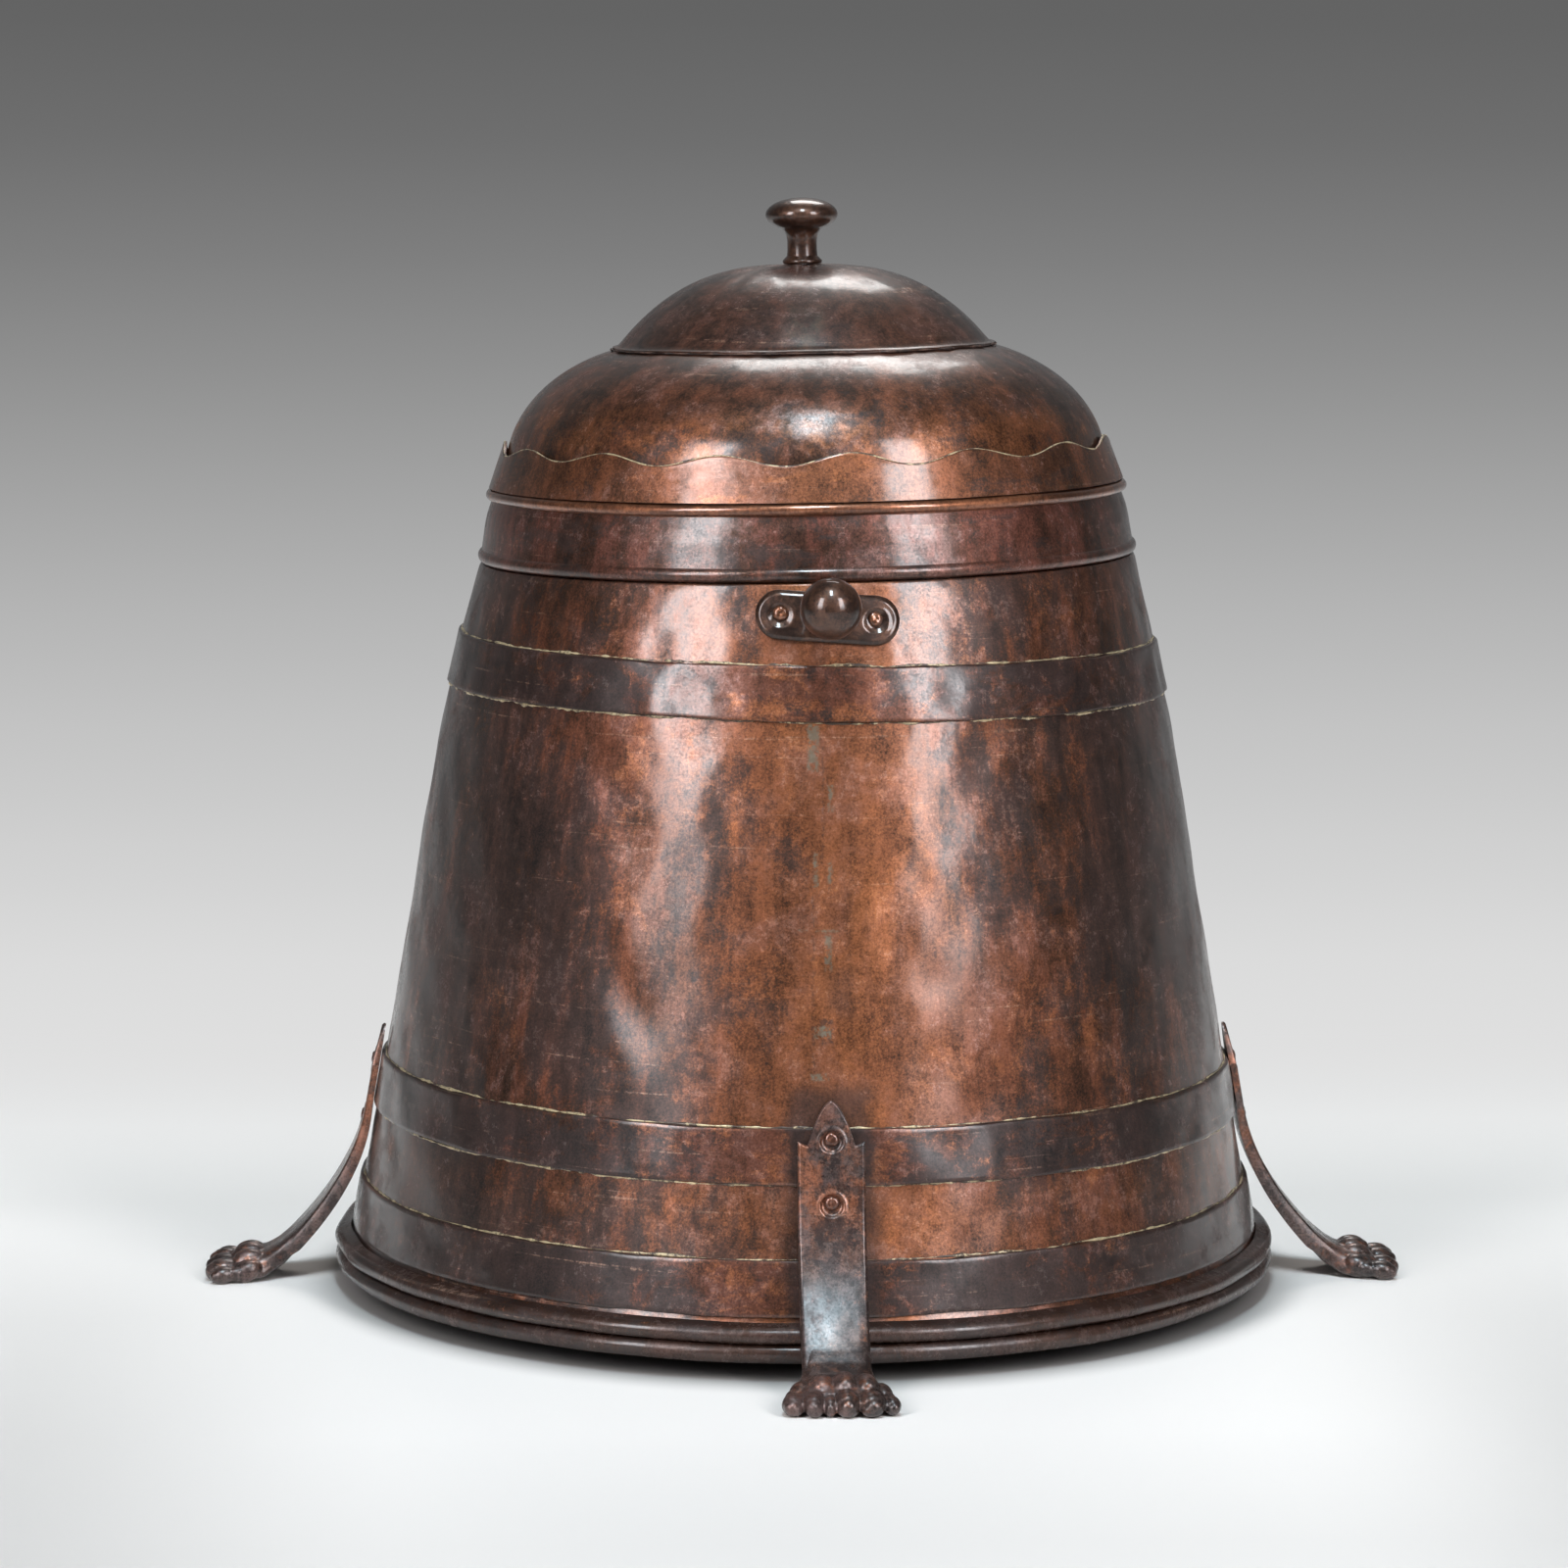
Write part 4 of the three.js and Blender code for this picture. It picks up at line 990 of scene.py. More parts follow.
def on_wall(azimuth, height):
    """A frame on the wall: X right as seen from outside, Y up the wall, Z straight out of it."""
    lean = math.atan((wall_radius(height - 1) - wall_radius(height + 1)) / 2)
    out = Matrix.Rotation(azimuth, 4, "Z") @ Matrix.Translation((0, -wall_radius(height), height))
    return out @ Matrix.Rotation(math.pi / 2 - lean, 4, "X")


# ---- Legs: straps, paws and rivets ----

# How far above its bend the strap is straight, and its sheet at the instep, where the paw takes over
STRAIGHT_RUN = 10
INSTEP_SHEET = (7, 5)


def strap_line():
    """The strap's outer face from tip to ankle as (radius, height), and how thick it is there.

    It follows the wall, then a curve b(t) = sum of w(t) p of four pulls p with the weights (1 - t)^3,
    3 (1 - t)^2 t, 3 (1 - t) t^2 and t^3, along which the sheet grows by t^0.75, then the instep.
    """
    offset = FIT + BAND_SHEET + FIT + STRAP_SHEET
    foot = STRAP_TOP - ARCH_HEIGHT
    high = np.linspace(STRAP_TOP, foot, 12)
    low = np.linspace(foot, STRAP_LEAVES, 20)[1:]
    sheet_high = np.linspace(STRAP_TIP_SHEET, STRAP_SHEET, 12)
    start, above = (
        np.array([wall_radius(level) + offset, level])
        for level in (STRAP_LEAVES, STRAP_LEAVES + STRAIGHT_RUN)
    )
    way = (start - above) / np.linalg.norm(start - above)
    ankle = np.array([ANKLE_RADIUS, ANKLE_HEIGHT])
    arriving = np.array([math.cos(ANKLE_SLOPE), -math.sin(ANKLE_SLOPE)])
    t = np.linspace(0, 1, 40)[1:, None]
    pulls = [start, start + way * STRAP_BEND[0], ankle - arriving * STRAP_BEND[1], ankle]
    weights = [(1 - t) ** 3, 3 * (1 - t) ** 2 * t, 3 * (1 - t) * t**2, t**3]
    bent = sum(w * p for w, p in zip(weights, pulls))
    beyond = np.array([(ANKLE_RADIUS + out, height) for out, height in INSTEP[1:3]])
    face = path(
        np.stack([wall_radius(high) + offset - STRAP_SHEET + sheet_high, high], -1),
        np.stack([wall_radius(low) + offset, low], -1),
        bent,
        beyond,
    )
    sheet_low = np.full(len(low), STRAP_SHEET)
    growing = STRAP_SHEET + (ANKLE_SHEET - STRAP_SHEET) * t[:, 0] ** 0.75
    return face, np.concatenate([sheet_high, sheet_low, growing, INSTEP_SHEET])


def arch_top(x):
    """The height of the strap's upper outline at x: small ears outside a pointed arch, whose sides
    are top - height (|x| / half width)^1.75."""
    foot = STRAP_TOP - ARCH_HEIGHT
    half, arch = STRAP_WIDTH / 2, ARCH_WIDTH / 2
    ear = foot + EAR_HEIGHT * (np.abs(x) - arch) / (half - arch)
    share = np.clip(np.abs(x) / arch, 0, 1)
    return np.where(np.abs(x) < arch, STRAP_TOP - ARCH_HEIGHT * share**1.75, ear)


def strap_relief(across, along, tip, end, rivets):
    """How far the strap's face is moved square to itself, at places across and along it.

    tip is where the face begins, end where it runs out in the paw, and rivets where the rivets are.
    """
    half = STRAP_WIDTH / 2

    # bevelled edges
    edge = np.minimum(half - np.abs(across), along - tip)
    lift = -0.75 * (1 - np.clip(edge / 1.15, 0, 1)) ** 1.4

    # a sunk seat for each rivet, with a raised lip round it
    for rivet in rivets:
        away = np.hypot(across, along - rivet)
        lift -= 0.95 * np.clip((SEAT_RADIUS + 0.2 - away) / 1.1, 0, 1) ** 0.7
        lift += 0.3 * np.exp(-((away - SEAT_RADIUS - 0.9) ** 2) / 0.5)

    # a lower half that is rounded, more so on the right, and an end that goes down into the paw
    low = np.clip((end - along - 6) / 50, 0, 1)
    low = np.clip(1 - low, 0, 1) ** 1.5
    lift -= 0.7 * low * (across / half) ** 2 + 0.9 * low * np.clip((across - 9.6) / 4.6, 0, 1) ** 1.7
    lift -= 1.1 * np.clip((along - end + 10) / 10, 0, 1) ** 2
    lift -= 0.35 * low * (across / half + 0.4) ** 2

    # a waver from the hammer
    return lift + 0.03 * np.sin(across * 0.5 + 1) * np.sin(along * 0.21)


def strap_columns():
    """Places across the strap, closer together by the arch's feet and at the bevelled edges."""
    half, arch = STRAP_WIDTH / 2, ARCH_WIDTH / 2
    side = np.concatenate(
        [
            np.linspace(0, arch - 1.5, 20),
            np.linspace(arch - 1.1, arch + 0.1, 6),
            np.linspace(arch + 0.6, half - 1.2, 6),
            [half - 0.8, half - 0.4, half],
        ]
    )
    return np.concatenate([-side[:0:-1], side])


def strap_shape():
    """The strap as a closed grid of its face and its back over (across, along).

    A place on the face is its side view's point at that length along it, moved square to it by the
    relief, and the back is set off by the sheet's thickness. Each column starts at the arch's outline.
    """
    face, sheet = strap_line()
    run = np.concatenate([[0], np.cumsum(np.linalg.norm(np.diff(face, axis=0), axis=1))])
    x = strap_columns()
    top = arch_top(x)
    start = np.interp(-top, -face[:, 1], run)
    rise = np.concatenate([[0, 0.4, 0.8, 1.2], np.linspace(2, 60, 110), np.linspace(61, 118, 40)])
    share = rise / rise[-1]
    along = start[None, :] + (run[-1] - start[None, :]) * share[:, None]
    across = np.broadcast_to(x, along.shape)
    place = np.stack([np.interp(along, run, face[:, k]) for k in (0, 1)], -1)
    thick = np.interp(along, run, sheet)
    way = np.stack([np.gradient(np.interp(along, run, face[:, k]), axis=0) for k in (0, 1)], -1)
    way /= np.linalg.norm(way, axis=-1, keepdims=True)
    normal = np.stack([-way[..., 1], way[..., 0]], -1)
    rivets = [np.interp(-height, -face[:, 1], run) for height in STRAP_RIVET_HEIGHTS.values()]
    lift = strap_relief(across, along, start[None, :], run[-1], rivets)
    outer = place + normal * lift[..., None]
    back = place - normal * thick[..., None]
    both = np.concatenate([outer, back[:, ::-1]], 1)
    sides = np.concatenate([across, across[:, ::-1]], 1)
    points = np.stack([sides, -both[..., 0], both[..., 1]], -1)
    rows, columns = sides.shape
    wide = columns // 2
    quads = grid_faces(rows, columns, False)
    first = np.arange(wide - 1)
    cap = np.stack([first, first + 1, columns - 2 - first, columns - 1 - first], -1)
    faces = [quads, cap[:, ::-1], cap + (rows - 1) * columns]
    return points.reshape(-1, 3), faces


def ellipsoid(centre, size, pitch, yaw, groove=0.0):
    """Points and faces of an ellipsoid with the given half axes, pitched about X and turned about Z.

    Its radius is 1 - groove exp(-((f - 0.85) / 0.15)^2), with f the angle from -Y, where its tip is.
    """
    points, faces = turned(arc((0, 0), 1, -90, 90, 14), 28)
    from_tip = np.arccos(np.clip(-points[:, 1], -1, 1))
    points *= (1 - groove * np.exp(-(((from_tip - 0.85) / 0.15) ** 2)))[:, None]
    turn = (Matrix.Rotation(yaw, 4, "Z") @ Matrix.Rotation(pitch, 4, "X")).to_3x3()
    return (points * np.asarray(size, float)) @ np.array(turn).T + np.asarray(centre, float), faces


# Toes as (side, width, length, height, back from the foremost tip), and knuckles the same but for the
# last, which is one value for them all. The toes stay a little inside the CAD model's reach.
TOES = [
    (-19.2, 9.8, 14, 8.8, 2.6),
    (-10.9, 9.4, 15, 9.6, 0.8),
    (-4.4, 6.6, 12, 8.2, 1.8),
    (2.6, 11.2, 16, 10.2, 0.1),
    (12.6, 11.8, 16, 10, 0.4),
    (20.7, 7.6, 12, 7.8, 3),
]
KNUCKLES = [
    (-15.6, 10.6, 15, 10.8),
    (-7, 11.8, 17, 14),
    (2.2, 12.2, 18, 15),
    (11, 11.4, 17, 14),
    (17.6, 9.2, 14, 9.8),
]
KNUCKLE_BACK = 21
TOE_SPARE = 1.2
TOE_TIP = 4.6
FOOT_ROWS = 40
FOOT_COLUMNS = 60
PAW_VOXEL = 0.5


def foot_slab():
    """The casting behind the toes, from a little way up inside the strap.

    Each section across it is a rounded oblong, x = w |cos t|^0.4 and z = middle + h |sin t|^0.55 with
    the signs of cos and sin, between the instep and the heel. Its half width w grows towards the floor.
    """
    out = np.linspace(-8, 27, FOOT_ROWS)
    above, below = (np.interp(out, *np.array(line, float).T) for line in (INSTEP, HEEL))
    sunk = np.clip((3 - out) / 9, 0, 1) ** 2
    strap_end = strap_line()[0][-45:]
    above = np.where(out < 0, np.interp(ANKLE_RADIUS + out, *strap_end.T), above) - 0.9 * sunk
    below = np.where(out < HEEL[0][0], above - 5.5, below + 0.6 * sunk)
    turn = np.linspace(0, TAU, FOOT_COLUMNS, endpoint=False)
    up = np.sign(np.sin(turn)) * np.abs(np.sin(turn)) ** 0.55
    z = ((above + below)[:, None] + (above - below)[:, None] * up) / 2
    spread = (SPREAD_WIDTH - STRAP_WIDTH) / 2 * np.clip(1 - z / SPREAD_HEIGHT, 0, 1) ** 1.2
    wide = STRAP_WIDTH / 2 - 0.8 * sunk[:, None] + spread * np.clip((out[:, None] + 2) / 14, 0, 1)
    x = wide * np.sign(np.cos(turn)) * np.abs(np.cos(turn)) ** 0.4
    y = -(ANKLE_RADIUS + np.broadcast_to(out[:, None], x.shape))
    points = np.stack([x, y, z], -1).reshape(-1, 3)
    ends = np.array([[0, -(ANKLE_RADIUS + out[k]), (above[k] + below[k]) / 2] for k in (0, -1)])
    ring = np.arange(FOOT_COLUMNS)
    fans = [
        np.stack([first + ring, first + np.roll(ring, -1), np.full_like(ring, len(points) + k)], -1)
        for k, first in enumerate((0, len(points) - FOOT_COLUMNS))
    ]
    quads = grid_faces(FOOT_ROWS, FOOT_COLUMNS, False)
    return np.vstack([points, ends]), [quads, fans[0][:, ::-1], fans[1]]


def toe(side, width, length, tall, back):
    """A toe's three ellipsoids: the toe with a groove round it, its joint behind and its blunt tip."""
    reach = TOE_REACH - TOE_SPARE - back
    turn = math.radians(side * 0.7)
    body = ellipsoid(
        (side, length / 2 - reach, tall / 2), (width / 2, length / 2, tall / 2), 0.12, turn, 0.08
    )
    joint = ellipsoid(
        (side * 0.97, length - reach, tall * 0.55),
        (width * 0.4, length * 0.4, tall * 0.42),
        0.2,
        turn,
    )
    tip = ellipsoid((side, TOE_TIP - reach, 3.4), (width * 0.42, 4.4, 3.2), 0.1, turn)
    return [body, joint, tip]


def knuckle(side, width, length, tall):
    """An ellipsoid on the instep, turned outwards like the toe before it."""
    place = (side, KNUCKLE_BACK - TOE_REACH, tall / 2)
    half = (width / 2, length / 2, tall / 2)
    return ellipsoid(place, half, 0.35, math.radians(side * 0.6), 0.07)


def paw_shape():
    """A paw as one skin over the foot, toes and knuckles, remeshed, smoothed and flat on the floor."""
    parts = [foot_slab()]
    for values in TOES:
        parts += toe(*values)
    parts += [knuckle(*values) for values in KNUCKLES]
    base = in_scene("paw_parts", mesh_of("paw_parts", joined(*parts)))
    remesh = base.modifiers.new("skin", "REMESH")
    remesh.mode = "VOXEL"
    remesh.voxel_size = PAW_VOXEL * MM
    smooth = base.modifiers.new("soften", "SMOOTH")
    smooth.factor = 0.5
    smooth.iterations = 2
    bpy.context.view_layer.update()
    skin = base.evaluated_get(bpy.context.evaluated_depsgraph_get()).data
    points = np.empty(3 * len(skin.vertices))
    skin.vertices.foreach_get("co", points)
    points = points.reshape(-1, 3) / MM
    corners = np.empty(len(skin.loops), int)
    skin.loops.foreach_get("vertex_index", corners)
    bpy.data.objects.remove(base)
    points[:, 2] = np.maximum(points[:, 2], 0)
    return points, [corners.reshape(-1, 4)]


# How far a rivet's head goes down into its seat, and how deep its top is dished
RIVET_HEAD_ROOT = 1.5
RIVET_DISH = 0.3


def rivet_shape(seed):
    """A low head with steep sides and a slightly dished top, a little out of round.

    Its side view is r = radius cos^0.6 t and z = height sin t - dish exp(-(r / 1.3)^2).
    """
    radius, height, root = RIVET_HEAD_RADIUS, RIVET_HEAD_HEIGHT, RIVET_HEAD_ROOT
    dome = arc((0, 0), 1, 0, 90, 12)
    dome[-1, 0] = 0
    dome = np.stack([radius * dome[:, 0] ** 0.6, height * dome[:, 1]], -1)
    dome[:, 1] -= RIVET_DISH * np.exp(-((dome[:, 0] / 1.3) ** 2))

    def warp(a, r, z):
        uneven = 0.12 * np.sin(2 * a + seed) + 0.08 * np.sin(3 * a + 2 * seed)
        return uneven * (r / radius) * (z > 0), 0.08 * np.sin(3 * a + seed) * (z / height)

    return turned(path((0, -root), (radius, -root), dome), 28, warp)


def head_level(height):
    """How far out from the wall a rivet's head sits in its seat on the strap."""
    face, _ = strap_line()
    return float(np.interp(-height, -face[:, 1], face[:, 0])) - float(wall_radius(height)) - SEAT_DEPTH


LEG_SHARP = math.radians(50)
leg_shape = joined(strap_shape(), paw_shape())

for side, azimuth in LEG_AZIMUTHS.items():
    leg = moved(leg_shape, Matrix.Rotation(azimuth, 4, "Z"))
    piece(f"strap_leg_{side}", leg, "scuttle", [f"leg_{side}"], leg_bronze, LEG_SHARP)
    for which, height in STRAP_RIVET_HEIGHTS.items():
        at = on_wall(azimuth, height) @ Matrix.Translation((0, 0, head_level(height)))
        head = moved(rivet_shape(azimuth + height), at)
        node = f"leg_rivet_{side}_{which}"
        piece(f"{node}_head", head, "scuttle", [node], rivet_copper)

# ---- Handles ----

# How far out from the wall the plate keeps its length when it is bent, and how many points there are
# round one of its ends and along one of its sides
PLATE_MIDDLE = 2
END_STEPS = 33
RUN_STEPS = 40


def bent_to_wall(x, y, out, azimuth):
    """Flat (x, y) from the plate's middle, at a distance out from the wall, as places round the wall.

    The flat plate is first turned by its lean; then x becomes an arc round the wall and y a height.
    """
    cos, sin = math.cos(PLATE_LEAN), math.sin(PLATE_LEAN)
    x, y = x * cos + y * sin, y * cos - x * sin
    height = HANDLE_LEVEL + y
    a = azimuth + x / (wall_radius(height) + PLATE_MIDDLE)
    r = wall_radius(height) + out
    return np.stack([r * np.sin(a), -r * np.cos(a), height], -1)


def plate_shape(azimuth):
    """A plate with round ends: rings set in from its outline, to the line between the ends' middles.

    Its face is lifted by its sheet, less a rounded edge, a dip with a raised lip round each rivet, a
    broad one under the knob and a small waver.
    """
    half = PLATE_HEIGHT / 2
    run = PLATE_LENGTH / 2 - half
    inset = np.concatenate([np.linspace(0, 2.4, 9), np.linspace(3, half - 0.01, 22)])
    turn = np.linspace(-math.pi / 2, math.pi / 2, END_STEPS)
    end, up = np.full(END_STEPS, run), np.full(RUN_STEPS, math.pi / 2)
    straight = np.linspace(-run, run, RUN_STEPS + 2)[1:-1]
    centre = np.concatenate([end, straight[::-1], -end, straight])
    angle = np.concatenate([turn, up, turn + math.pi, -up])
    x = centre + (half - inset[:, None]) * np.cos(angle)
    y = (half - inset[:, None]) * np.sin(angle)
    lift = PLATE_SHEET * np.ones_like(x) + FIT
    lift -= 1.5 * (1 - np.clip(inset[:, None] / 2.4, 0, 1)) ** 2
    for middle in (-RIVET_SPACING / 2, RIVET_SPACING / 2):
        from_rivet = np.hypot(x - middle, y)
        lift -= 0.9 * np.clip((SEAT_RADIUS + 0.6 - from_rivet) / 2.2, 0, 1) ** 0.9
        lift += 0.1 * np.exp(-((from_rivet - SEAT_RADIUS - 1) ** 2) / 0.8)
    lift -= 0.35 * np.exp(-(np.hypot(x, y) ** 2) / 120)
    lift += 0.12 * np.sin(0.4 * x + 0.6) * np.sin(0.5 * y + 0.4)
    top = bent_to_wall(x, y, lift, azimuth)
    under = bent_to_wall(x, y, np.full_like(x, FIT), azimuth)
    grid = np.concatenate([top[::-1], under], 0)
    rows, columns = grid.shape[:2]
    return grid.reshape(-1, 3), [grid_faces(rows, columns, True)]


def knob_profile():
    """The handle's side view from its axis: a foot, a waisted neck and a ball, by radius and height."""
    foot = PLATE_SHEET
    neck_top = foot + BALL_FOOT_HEIGHT + BALL_NECK_LENGTH
    sunk = math.sqrt(BALL_RADIUS**2 - BALL_NECK_RADIUS**2)
    start = -math.degrees(math.asin(sunk / BALL_RADIUS))
    ball = arc((0, neck_top + sunk), BALL_RADIUS, start + 4, 90, 40)
    ball[-1, 0] = 0
    return path(
        (0, foot - 1),
        (BALL_FOOT_RADIUS - 0.5, foot - 1),
        (BALL_FOOT_RADIUS, foot + 0.4),
        (BALL_FOOT_RADIUS - 0.5, foot + 1),
        (BALL_NECK_RADIUS + 0.8, foot + BALL_FOOT_HEIGHT),
        (BALL_NECK_RADIUS, foot + BALL_FOOT_HEIGHT + 1.2),
        (BALL_NECK_RADIUS - 0.2, foot + BALL_FOOT_HEIGHT + 3),
        ball,
    )


for side, azimuth in HANDLE_AZIMUTHS.items():
    at = on_wall(azimuth, HANDLE_LEVEL)
    plate = f"handle_plate_{side}"
    piece(f"{plate}_bent", plate_shape(azimuth), "scuttle", [plate], knob_bronze)
    node = f"handle_knob_{side}"
    ball = moved(turned(knob_profile(), 64), at)
    piece(f"{node}_ball", ball, "scuttle", [node], knob_bronze)
    for which, sign in (("left", -1), ("right", 1)):
        flat = np.array([[sign * RIVET_SPACING / 2]]), np.array([[0.0]])
        place = bent_to_wall(*flat, 0, azimuth)[0, 0]
        own = math.atan2(place[0], -place[1])
        seat = on_wall(own, place[2]) @ Matrix.Translation((0, 0, PLATE_SHEET - SEAT_DEPTH + FIT))
        node = f"handle_rivet_{side}_{which}"
        head = moved(rivet_shape(sign + 2 * azimuth), seat)
        piece(f"{node}_head", head, "scuttle", [node], pin_copper)

# ---- Lid, worked out with its seat at a height of 0 ----

LID_PLACE = Matrix.Translation((0, 0, SEAT_LEVEL + FIT)) @ Matrix.Rotation(-MOUTH_LEAN, 4, "Y")


def lid_piece(name, shape, nodes, material):
    """A piece that rides on the lid, leaning as the lid does."""
    piece(name, moved(shape, LID_PLACE), "lid", nodes, material)


SKIRT_TOP_RADIUS = ROLL_CENTRE + ROLL_RADIUS - SKIRT_TAPER
CONE_SHEET = LID_SHEET / math.cos(math.atan(CONE_SLOPE))
COLLAR_FOOT = BEAD_LEVEL + BEAD_HEIGHT / 2 + FIT


def skirt_radius(height):
    """The radius of the skirt's cone, which narrows steadily with height."""
    return SKIRT_TOP_RADIUS + CONE_SLOPE * (SKIRT_RISE - height)


COLLAR_BACK = skirt_radius(COLLAR_FOOT) + FIT + CONE_SHEET + FIT
COLLAR_TOP = COLLAR_FOOT + COLLAR_HEIGHT - BEAD_HEIGHT / 2
COLLAR_TAPER = CONE_SLOPE * (COLLAR_TOP - COLLAR_FOOT)
COLLAR_STEPS = WAVES * 30
SHOULDER_WIDEST = COLLAR_BACK - COLLAR_TAPER - FIT


def lid_warp(a, r, z):
    """The unevenness of shoulder and crown, outwards and upwards."""
    return 0.35 * lid_dent(a, z), 0.6 * lid_dent(a, z + 200)


def skirt_face():
    """The skirt's side view: down its cone and its flare to the crease, and an arc round the roll."""
    waist = (SKIRT_TOP_RADIUS + SKIRT_CONE_HEIGHT * CONE_SLOPE, SKIRT_RISE - SKIRT_CONE_HEIGHT)
    crease = (ROLL_CENTRE + ROLL_RADIUS - CREASE_INSET, CREASE_HEIGHT)
    flare = [
        (waist[0] + 1.1, waist[1] - 4.7),
        (crease[0] - 0.75, CREASE_HEIGHT + 4.6),
        (crease[0] - 0.1, CREASE_HEIGHT + 0.6),
    ]
    upper = np.linspace((SKIRT_TOP_RADIUS, SKIRT_RISE), waist, 12)
    lower = drawn_smooth(path(upper[-1], flare), 1.0)
    roll = arc((ROLL_CENTRE, ROLL_RADIUS), ROLL_RADIUS, ROLL_START + 3, ROLL_END, 26)
    return path(upper[:-1], lower, roll)


def skirt_warp(a, r, z):
    """The skirt's unevenness, outwards only."""
    return 0.2 * lid_dent(a, z), 0


skirt = turned(sheet_loop(skirt_face(), -ROLL_SHEET), LID_STEPS, skirt_warp)
lid_piece("skirt", skirt, ["lid_skirt"], skirt_copper)


def bead_section():
    """Half an oval that stands out from the skirt's cone."""
    half = BEAD_HEIGHT / 2
    low, high = ((skirt_radius(z) + FIT, z) for z in (BEAD_LEVEL - half, BEAD_LEVEL + half))
    bulge = arc((skirt_radius(BEAD_LEVEL) + FIT, BEAD_LEVEL), (BEAD_DEPTH, half), -75, 75, 14)
    return path(low, bulge, high)


def bead_warp(a, r, z):
    """The bead's waver, in and out and up and down."""
    return 0.2 * waver(a, 71, 26), 0.25 * waver(a, 72, 14)


bead = turned(bead_section(), BODY_STEPS, bead_warp)
lid_piece("bead", bead, ["lid_bead"], bead_copper)


def wave_rise(a):
    """-h/2 cos(n (a - start)), with waves of slightly uneven height and spacing."""
    uneven = 1 + 0.12 * np.sin(3 * a + 1) + 0.08 * np.sin(7 * a)
    drift = 0.06 * np.sin(2 * a + 0.4)
    return -WAVE_HEIGHT / 2 * uneven * np.cos(WAVES * (a - WAVE_START) + drift)


def collar_shape():
    """A cone whose upper edge follows the waves; its section is (share of sheet, share of height)."""
    share = np.concatenate([np.linspace(0, 0.9, 14), [0.95, 0.98, 1.0]])
    out = np.concatenate([np.ones(14), [1.05, 1.1, 0.9]])
    section = path(np.stack([out, share], -1), np.stack([np.zeros(10), np.linspace(1, 0, 10)], -1))

    def warp(a, r, s):
        z = COLLAR_FOOT + (COLLAR_TOP + wave_rise(a) - COLLAR_FOOT) * s
        radius = COLLAR_BACK - CONE_SLOPE * (z - COLLAR_FOOT) + CONE_SHEET * r
        return radius + 0.15 * lid_dent(a, z) - r, z - s

    return turned(section, COLLAR_STEPS, warp)


lid_piece("collar", collar_shape(), ["lid_collar"], collar_copper)


def collar_seam():
    """A bright line along the waved edge, round in section."""
    section = arc((0, 0), 1, 0, 320, 8)

    def warp(a, r, s):
        thick = 0.3 * np.clip(0.9 + 0.35 * waver(a, 81, 90), 0.3, 1.6)
        z = COLLAR_TOP + wave_rise(a) + 0.1 + s * thick
        radius = COLLAR_BACK - CONE_SLOPE * (z - COLLAR_FOOT) + CONE_SHEET * 0.75
        return radius + 0.15 * lid_dent(a, z) + r * thick - r, z - s

    return turned(section, COLLAR_STEPS, warp)


lid_piece("collar_edge", collar_seam(), [], spelter)


def shoulder_height(radius):
    """A quarter of an ellipse: base + rise sqrt(1 - ((r - middle) / span)^2)."""
    share = (radius - SHOULDER_WIDEST + SHOULDER_SPAN) / SHOULDER_SPAN
    return SHOULDER_BASE + SHOULDER_RISE * math.sqrt(max(1 - share**2, 0))


def shoulder_face():
    """The shoulder's side view: its quarter ellipse, and its foot down inside the collar."""
    centre = SHOULDER_WIDEST - SHOULDER_SPAN
    inner = CROWN_RADIUS - SHOULDER_LAP
    start = math.degrees(math.acos((inner - centre) / SHOULDER_SPAN))
    curve = arc((centre, SHOULDER_BASE), (SHOULDER_SPAN, SHOULDER_RISE), start, 7, 70)
    foot = [
        (COLLAR_BACK - FIT - COLLAR_TAPER * share, COLLAR_FOOT + (COLLAR_TOP - COLLAR_FOOT) * share)
        for share in (0.72, 0.5, 0.3, 0.06)
    ]
    return path(curve, foot)


shoulder = turned(sheet_loop(shoulder_face(), -LID_SHEET), LID_STEPS, lid_warp)
lid_piece("shoulder", shoulder, ["lid_shoulder"], lid_copper)

CROWN_TOP = shoulder_height(CROWN_CURVE) + CROWN_RISE


def crown_height(radius):
    """top - rise (r / curve)^power."""
    return CROWN_TOP - CROWN_RISE * (np.asarray(radius) / CROWN_CURVE) ** CROWN_POWER


# The sheet's thickness measured upwards where the crown's foot lies aslant on the shoulder
CROWN_FOOT_SHEET = 1.06 * LID_SHEET


def crown_face():
    """The crown's side view, from the knob's hole to a foot that lies on the shoulder."""
    radius = np.linspace(SPIGOT_RADIUS + FIT, CROWN_RADIUS - 4, 70)
    foot = [
        (CROWN_RADIUS - back, shoulder_height(CROWN_RADIUS - back) + FIT + CROWN_FOOT_SHEET)
        for back in (2.4, 1.2, 0)
    ]
    return path(np.stack([radius, crown_height(radius)], -1), foot)


crown = turned(sheet_loop(crown_face(), -LID_SHEET), LID_STEPS, lid_warp)
lid_piece("crown", crown, ["lid_crown"], lid_copper)


def crown_seam():
    """A dark line of dirt round the crown's foot, round in section."""
    section = arc((0, 0), 1, 0, 320, 8)

    def warp(a, r, s):
        thick = 0.45 * np.clip(0.7 + 0.6 * waver(a, 83, 70), 0.1, 2)
        z = shoulder_height(CROWN_RADIUS) + 0.7 + s * thick
        return CROWN_RADIUS + 0.4 + 0.3 * waver(a, 84, 30) + r * thick - r, z - s

    return turned(section, 720, warp)


lid_piece("crown_edge", crown_seam(), [], grime)


